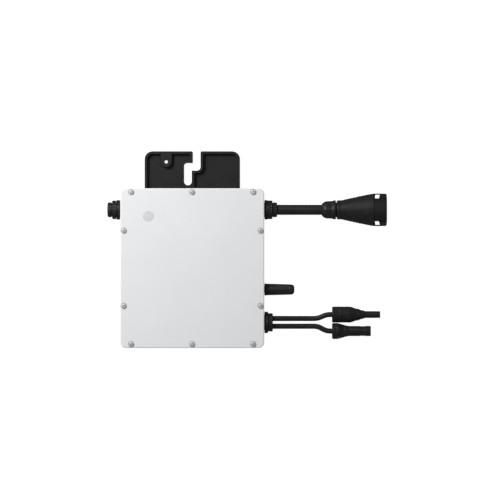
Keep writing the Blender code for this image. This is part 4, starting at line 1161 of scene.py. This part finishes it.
def make_dc_gland():
    axis = along_x(SIDE_X, DC_Y, PORT_Z)
    profile = [(-5.5, 0), (-5.5, 8.7), (0.3, 8.7), (0.3, 12), (0.6, 12.2), (3.9, 12.2), (4.4, 11.8), (4.4, 0)]
    body = moulding(
        "dc_gland_shell", profile, axis, 0.0007, 160,
        flutes(20, 0.0004, 0.0006, 0.0040, 0.0115, 0.6), ease=0.25, ring=False,
    )
    cut(body, lead_bores("shell_bores", SIDE_X - 0.008, SIDE_X + 0.008))
    settle(body, "dc_gland_body")
    profile = [(4.3, 0), (4.3, 10.2), (4.6, 10.4), (8.8, 10.4), (9.6, 10), (9.8, 9.3), (9.8, 0)]
    collar = moulding(
        "dc_gland_ring", profile, axis, 0.0006, 160,
        flutes(20, 0.0004, 0.0049, 0.0092, 0.0097, 0.6), ring=False,
    )
    cut(collar, lead_bores("ring_bores", SIDE_X + 0.001, SIDE_X + 0.012))
    settle(collar, "dc_gland_collar")


def lower_side(turn):
    """1 on the side of a connector that faces -Y, 0 elsewhere."""
    return fade((-math.sin(turn) - 0.3) / 0.2)


def make_dc_positive():
    place = along_x(DC_CONNECTOR_X, DC_POSITIVE_Y, DC_CONNECTOR_Z)
    profile = [
        (0, DC_BORE), (0, 8), (0.5, 8.8), (1.2, 9.15), (9.8, 9.15), (10.2, 8.9), (10.2, 7.3), (2.2, 7.3),
        (2.2, DC_BORE),
    ]
    nut = moulding(
        "positive_nut", profile, place, 0.0007, 180, flutes(20, 0.0004, 0.0022, 0.0092, 0.0087, 0.6),
    )
    settle(nut, "dc_positive_nut")
    nose = 3.9
    profile = [
        (2.6, DC_BORE), (2.6, 7), (10.2, 7), (10.2, 8.9), (10.5, 9.15), (20, 9.15), (22.2, 8.8), (27.7, 6.8),
        (30.2, 6.7), (30.6, 6.3), (33.6, 5), (35.6, 4.95), (36, 4.6), (37.8, nose), (52.2, nose),
        (52.4, nose - 0.3), (52.8, nose - 0.3), (53, nose), (54.6, nose), (55, nose - 0.3), (55, 2.5),
        (54.7, 2.3), (17.2, 2.3), (17.2, DC_BORE),
    ]
    grip = grooves_round([0.0125, 0.0150, 0.0175], 0.0009, 0.00035, 0.0088, lower_side)
    flats = flutes(2, 0.0006, 0.0104, 0.0330, 0.0060, 1.0, 0.0015)
    housing = moulding(
        "positive_housing", profile, place, 0.0006, 96,
        both(grip, lambda height, radius, turn: 0.6 * flats(height, radius, turn + math.pi / 2)),
    )
    settle(housing, "dc_positive_housing")
    contact_profile = eased(
        [
            (0.0175, 0.0005), (0.0175, 0.0020), (0.0534, 0.0020), (0.0540, 0.0018), (0.0540, 0.0013),
            (0.0400, 0.0013), (0.0400, 0.0005),
        ],
        0.0001,
        ring=True,
    )
    contact = turned("positive_contact", contact_profile, place, tinned, ring=True, steps=40)
    settle(contact, "dc_positive_contact")
    return [nut, housing, contact]


def make_dc_negative():
    place = along_x(DC_CONNECTOR_X, DC_NEGATIVE_Y, DC_CONNECTOR_Z)
    profile = [
        (0, DC_BORE), (0, 8), (0.5, 8.7), (1.2, 9.1), (6.4, 9.1), (7.1, 8.9), (7.1, 6.9), (2.2, 6.9),
        (2.2, DC_BORE),
    ]
    nut = moulding(
        "negative_nut", profile, place, 0.0007, 180, flutes(20, 0.0004, 0.0014, 0.0064, 0.0087, 0.6),
    )
    settle(nut, "dc_negative_nut")
    barrel = 5.8
    profile = [
        (2.6, DC_BORE), (2.6, 6.6), (7.2, 6.6), (7.2, 8.6), (7.5, 8.7), (8.6, 8.4), (12.9, 6.5), (16.7, 6.4),
        (17.2, 6.1), (18.7, barrel), (31.6, barrel), (31.9, barrel - 0.3), (37.9, barrel - 0.3),
        (38.2, barrel), (43.7, barrel), (44.3, barrel - 0.4), (44.3, 4.3), (44, 4.1), (23, 4.1), (23, 1.8),
        (19, 1.8), (19, DC_BORE),
    ]
    housing = moulding(
        "negative_housing", profile, place, 0.0005, 96,
        grooves_round([0.0195 + 0.0022 * index for index in range(6)], 0.0012, 0.00014, 0.0054),
    )
    wings = []
    wing_half = 0.0021
    for side in (1, -1):
        tip = (DC_CONNECTOR_X + 0.0170, DC_NEGATIVE_Y + side * 0.0060)
        corners = [
            (DC_CONNECTOR_X + 0.0072, DC_NEGATIVE_Y + side * 0.0050), (tip[0], DC_NEGATIVE_Y + side * 0.0050),
            tip, (DC_CONNECTOR_X + 0.0074, DC_NEGATIVE_Y + side * 0.0089),
        ]
        outline = corners if side > 0 else corners[::-1]
        wings.append((outline, DC_CONNECTOR_Z - wing_half, DC_CONNECTOR_Z + wing_half))
    join(housing, prisms("latch_wings", wings))
    settle(housing, "dc_negative_housing")
    pin = [(0.0193, 0.0), (0.0193, 0.0015), (0.0372, 0.0015), (0.0382, 0.0010), (0.0385, 0.0)]
    contact = turned("negative_contact", eased(pin, 0.0002), place, tinned, steps=32)
    settle(contact, "dc_negative_contact")
    return [nut, housing, contact]


# Inside the case


def make_choke():
    """Toroid choke wound with round wire: its skin swells and dips at each turn."""
    low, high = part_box("line_choke")
    centre = (low + high) / 2
    tube = (high.z - low.z) / 2
    ring_radius = (high.x - low.x) / 2 - tube
    turns, round_steps, tube_steps, wire = 34, 204, 28, 0.0006
    work = bmesh.new()
    loops = []
    for step in range(round_steps):
        angle = math.tau * step / round_steps
        loop = []
        for index in range(tube_steps):
            around = math.tau * index / tube_steps
            crest = abs(math.cos((angle * turns + around) / 2))
            reach = tube - wire * (1 - crest)
            out = ring_radius + reach * math.cos(around)
            loop.append(
                work.verts.new(
                    centre + Vector((out * math.cos(angle), out * math.sin(angle), reach * math.sin(around)))
                )
            )
        loops.append(loop)
    for first, second in zip(loops, loops[1:] + loops[:1]):
        skin(work, first, second)
    choke = from_work("choke_winding", work, enamelled, math.radians(80))
    settle(choke, "line_choke")


def make_capacitors():
    """Radial capacitors: sleeve with a rolled groove near its foot and a dished top."""
    for number in (1, 2, 3):
        node = f"bulk_capacitor_{number}"
        low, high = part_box(node)
        tall = high.z - low.z
        wide = (high.x - low.x) / 2
        profile = eased(
            [
                (0.0, 0.0), (0.0, wide - 0.0003), (0.0006, wide), (0.0016, wide), (0.0021, wide - 0.0006),
                (0.0027, wide - 0.0006), (0.0032, wide), (tall - 0.0007, wide), (tall, wide - 0.0006),
                (tall, wide - 0.0013), (tall - 0.0003, wide - 0.0017), (tall - 0.0003, 0.0),
            ],
            0.0003,
        )
        centre = middle(node)
        capacitor = turned(node + "_sleeve", profile, upright(centre.x, centre.y, low.z), sleeve, steps=48)
        settle(capacitor, node)


INSIDE = (
    ("cover_gasket", gasket_black, 0.0), ("main_board", board_green, 0.0002),
    ("thermal_pad", pad_grey, 0.0003), ("board_screw_", steel, 0.0001), ("transformer_core", ferrite, 0.0003),
    ("transformer_winding", winding_tape, 0.0004), ("film_capacitor", film_yellow, 0.0004),
    ("power_switch_", chip_epoxy, 0.0002), ("control_chip", chip_epoxy, 0.0002),
    ("radio_module", radio_tin, 0.0002), ("relay_frame", bobbin_brown, 0.0002),
    ("relay_armature", steel, 0.0002), ("relay_cover", relay_blue, 0.0003),
    ("ac_port_insert", contact_black, 0.0),
)


def dress_inside():
    """CAD nodes that stay: each gets its finish, and softened edges where they are sharp."""
    for prefix, material, width in INSIDE:
        for name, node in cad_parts.items():
            if not name.startswith(prefix):
                continue
            node.data.materials.clear()
            node.data.materials.append(material)
            if width:
                round_edges(node, width, 2, math.radians(50))


# Floor and light


FLOOR_GREY = 0.30
FLOOR_GLOW = 0.935
FLOOR_REACH = 4.0
SKY, GLOSSY_SKY, SEEN_SKY = 0.44, 0.14, 1.0  # strength for diffuse, glossy and camera rays
KEY_PLACE, KEY_SIZE, KEY_ENERGY = (-0.50, 0.52, 0.72), 0.5, 9.5


def make_stage():
    floor_material = bpy.data.materials.new("floor_white")
    floor_material.use_nodes = True
    shader = floor_material.node_tree.nodes["Principled BSDF"]
    shader.inputs["Base Color"].default_value = (FLOOR_GREY, FLOOR_GREY, FLOOR_GREY, 1.0)
    shader.inputs["Roughness"].default_value = 0.9
    shader.inputs["Specular IOR Level"].default_value = 0.1
    shader.inputs["Emission Color"].default_value = (1.0, 1.0, 1.0, 1.0)
    shader.inputs["Emission Strength"].default_value = FLOOR_GLOW
    work = bmesh.new()
    reach = FLOOR_REACH
    corners = ((-reach, -reach), (reach, -reach), (reach, reach), (-reach, reach))
    work.faces.new([work.verts.new((x, y, cad_low.z - 0.0001)) for x, y in corners])
    floor = from_work("floor", work, floor_material)
    floor.visible_glossy = False

    world = bpy.data.worlds.new("studio")
    world.use_nodes = True
    nodes = world.node_tree.nodes
    nodes["Background"].inputs["Color"].default_value = (0.985, 0.99, 1.0, 1.0)
    rays = nodes.new("ShaderNodeLightPath")
    strength = None
    for ray, change in (("Is Glossy Ray", GLOSSY_SKY - SKY), ("Is Camera Ray", SEEN_SKY - SKY)):
        step = nodes.new("ShaderNodeMath")
        step.operation = "MULTIPLY_ADD"
        step.inputs[1].default_value = change
        step.inputs[2].default_value = SKY
        world.node_tree.links.new(rays.outputs[ray], step.inputs[0])
        if strength:
            world.node_tree.links.new(strength, step.inputs[2])
        strength = step.outputs["Value"]
    world.node_tree.links.new(strength, nodes["Background"].inputs["Strength"])
    bpy.context.scene.world = world

    data = bpy.data.lights.new("key", "AREA")
    data.shape = "DISK"
    data.size = KEY_SIZE
    data.energy = KEY_ENERGY
    light = bpy.data.objects.new("key", data)
    light.location = KEY_PLACE
    aim = Vector((0.0, 0.0, 0.02)) - Vector(KEY_PLACE)
    light.rotation_euler = aim.to_track_quat("-Z", "Y").to_euler()
    light.visible_camera = False
    bpy.context.scene.collection.objects.link(light)


make_stage()
make_tray()
make_cover()
make_cover_screws()
make_bracket()
make_bracket_screws()
make_ac_port()
make_ac_gland()
coupler_pieces = make_coupler()
make_antenna()
make_dc_gland()
positive_pieces = make_dc_positive()
negative_pieces = make_dc_negative()
make_choke()
make_capacitors()
dress_inside()
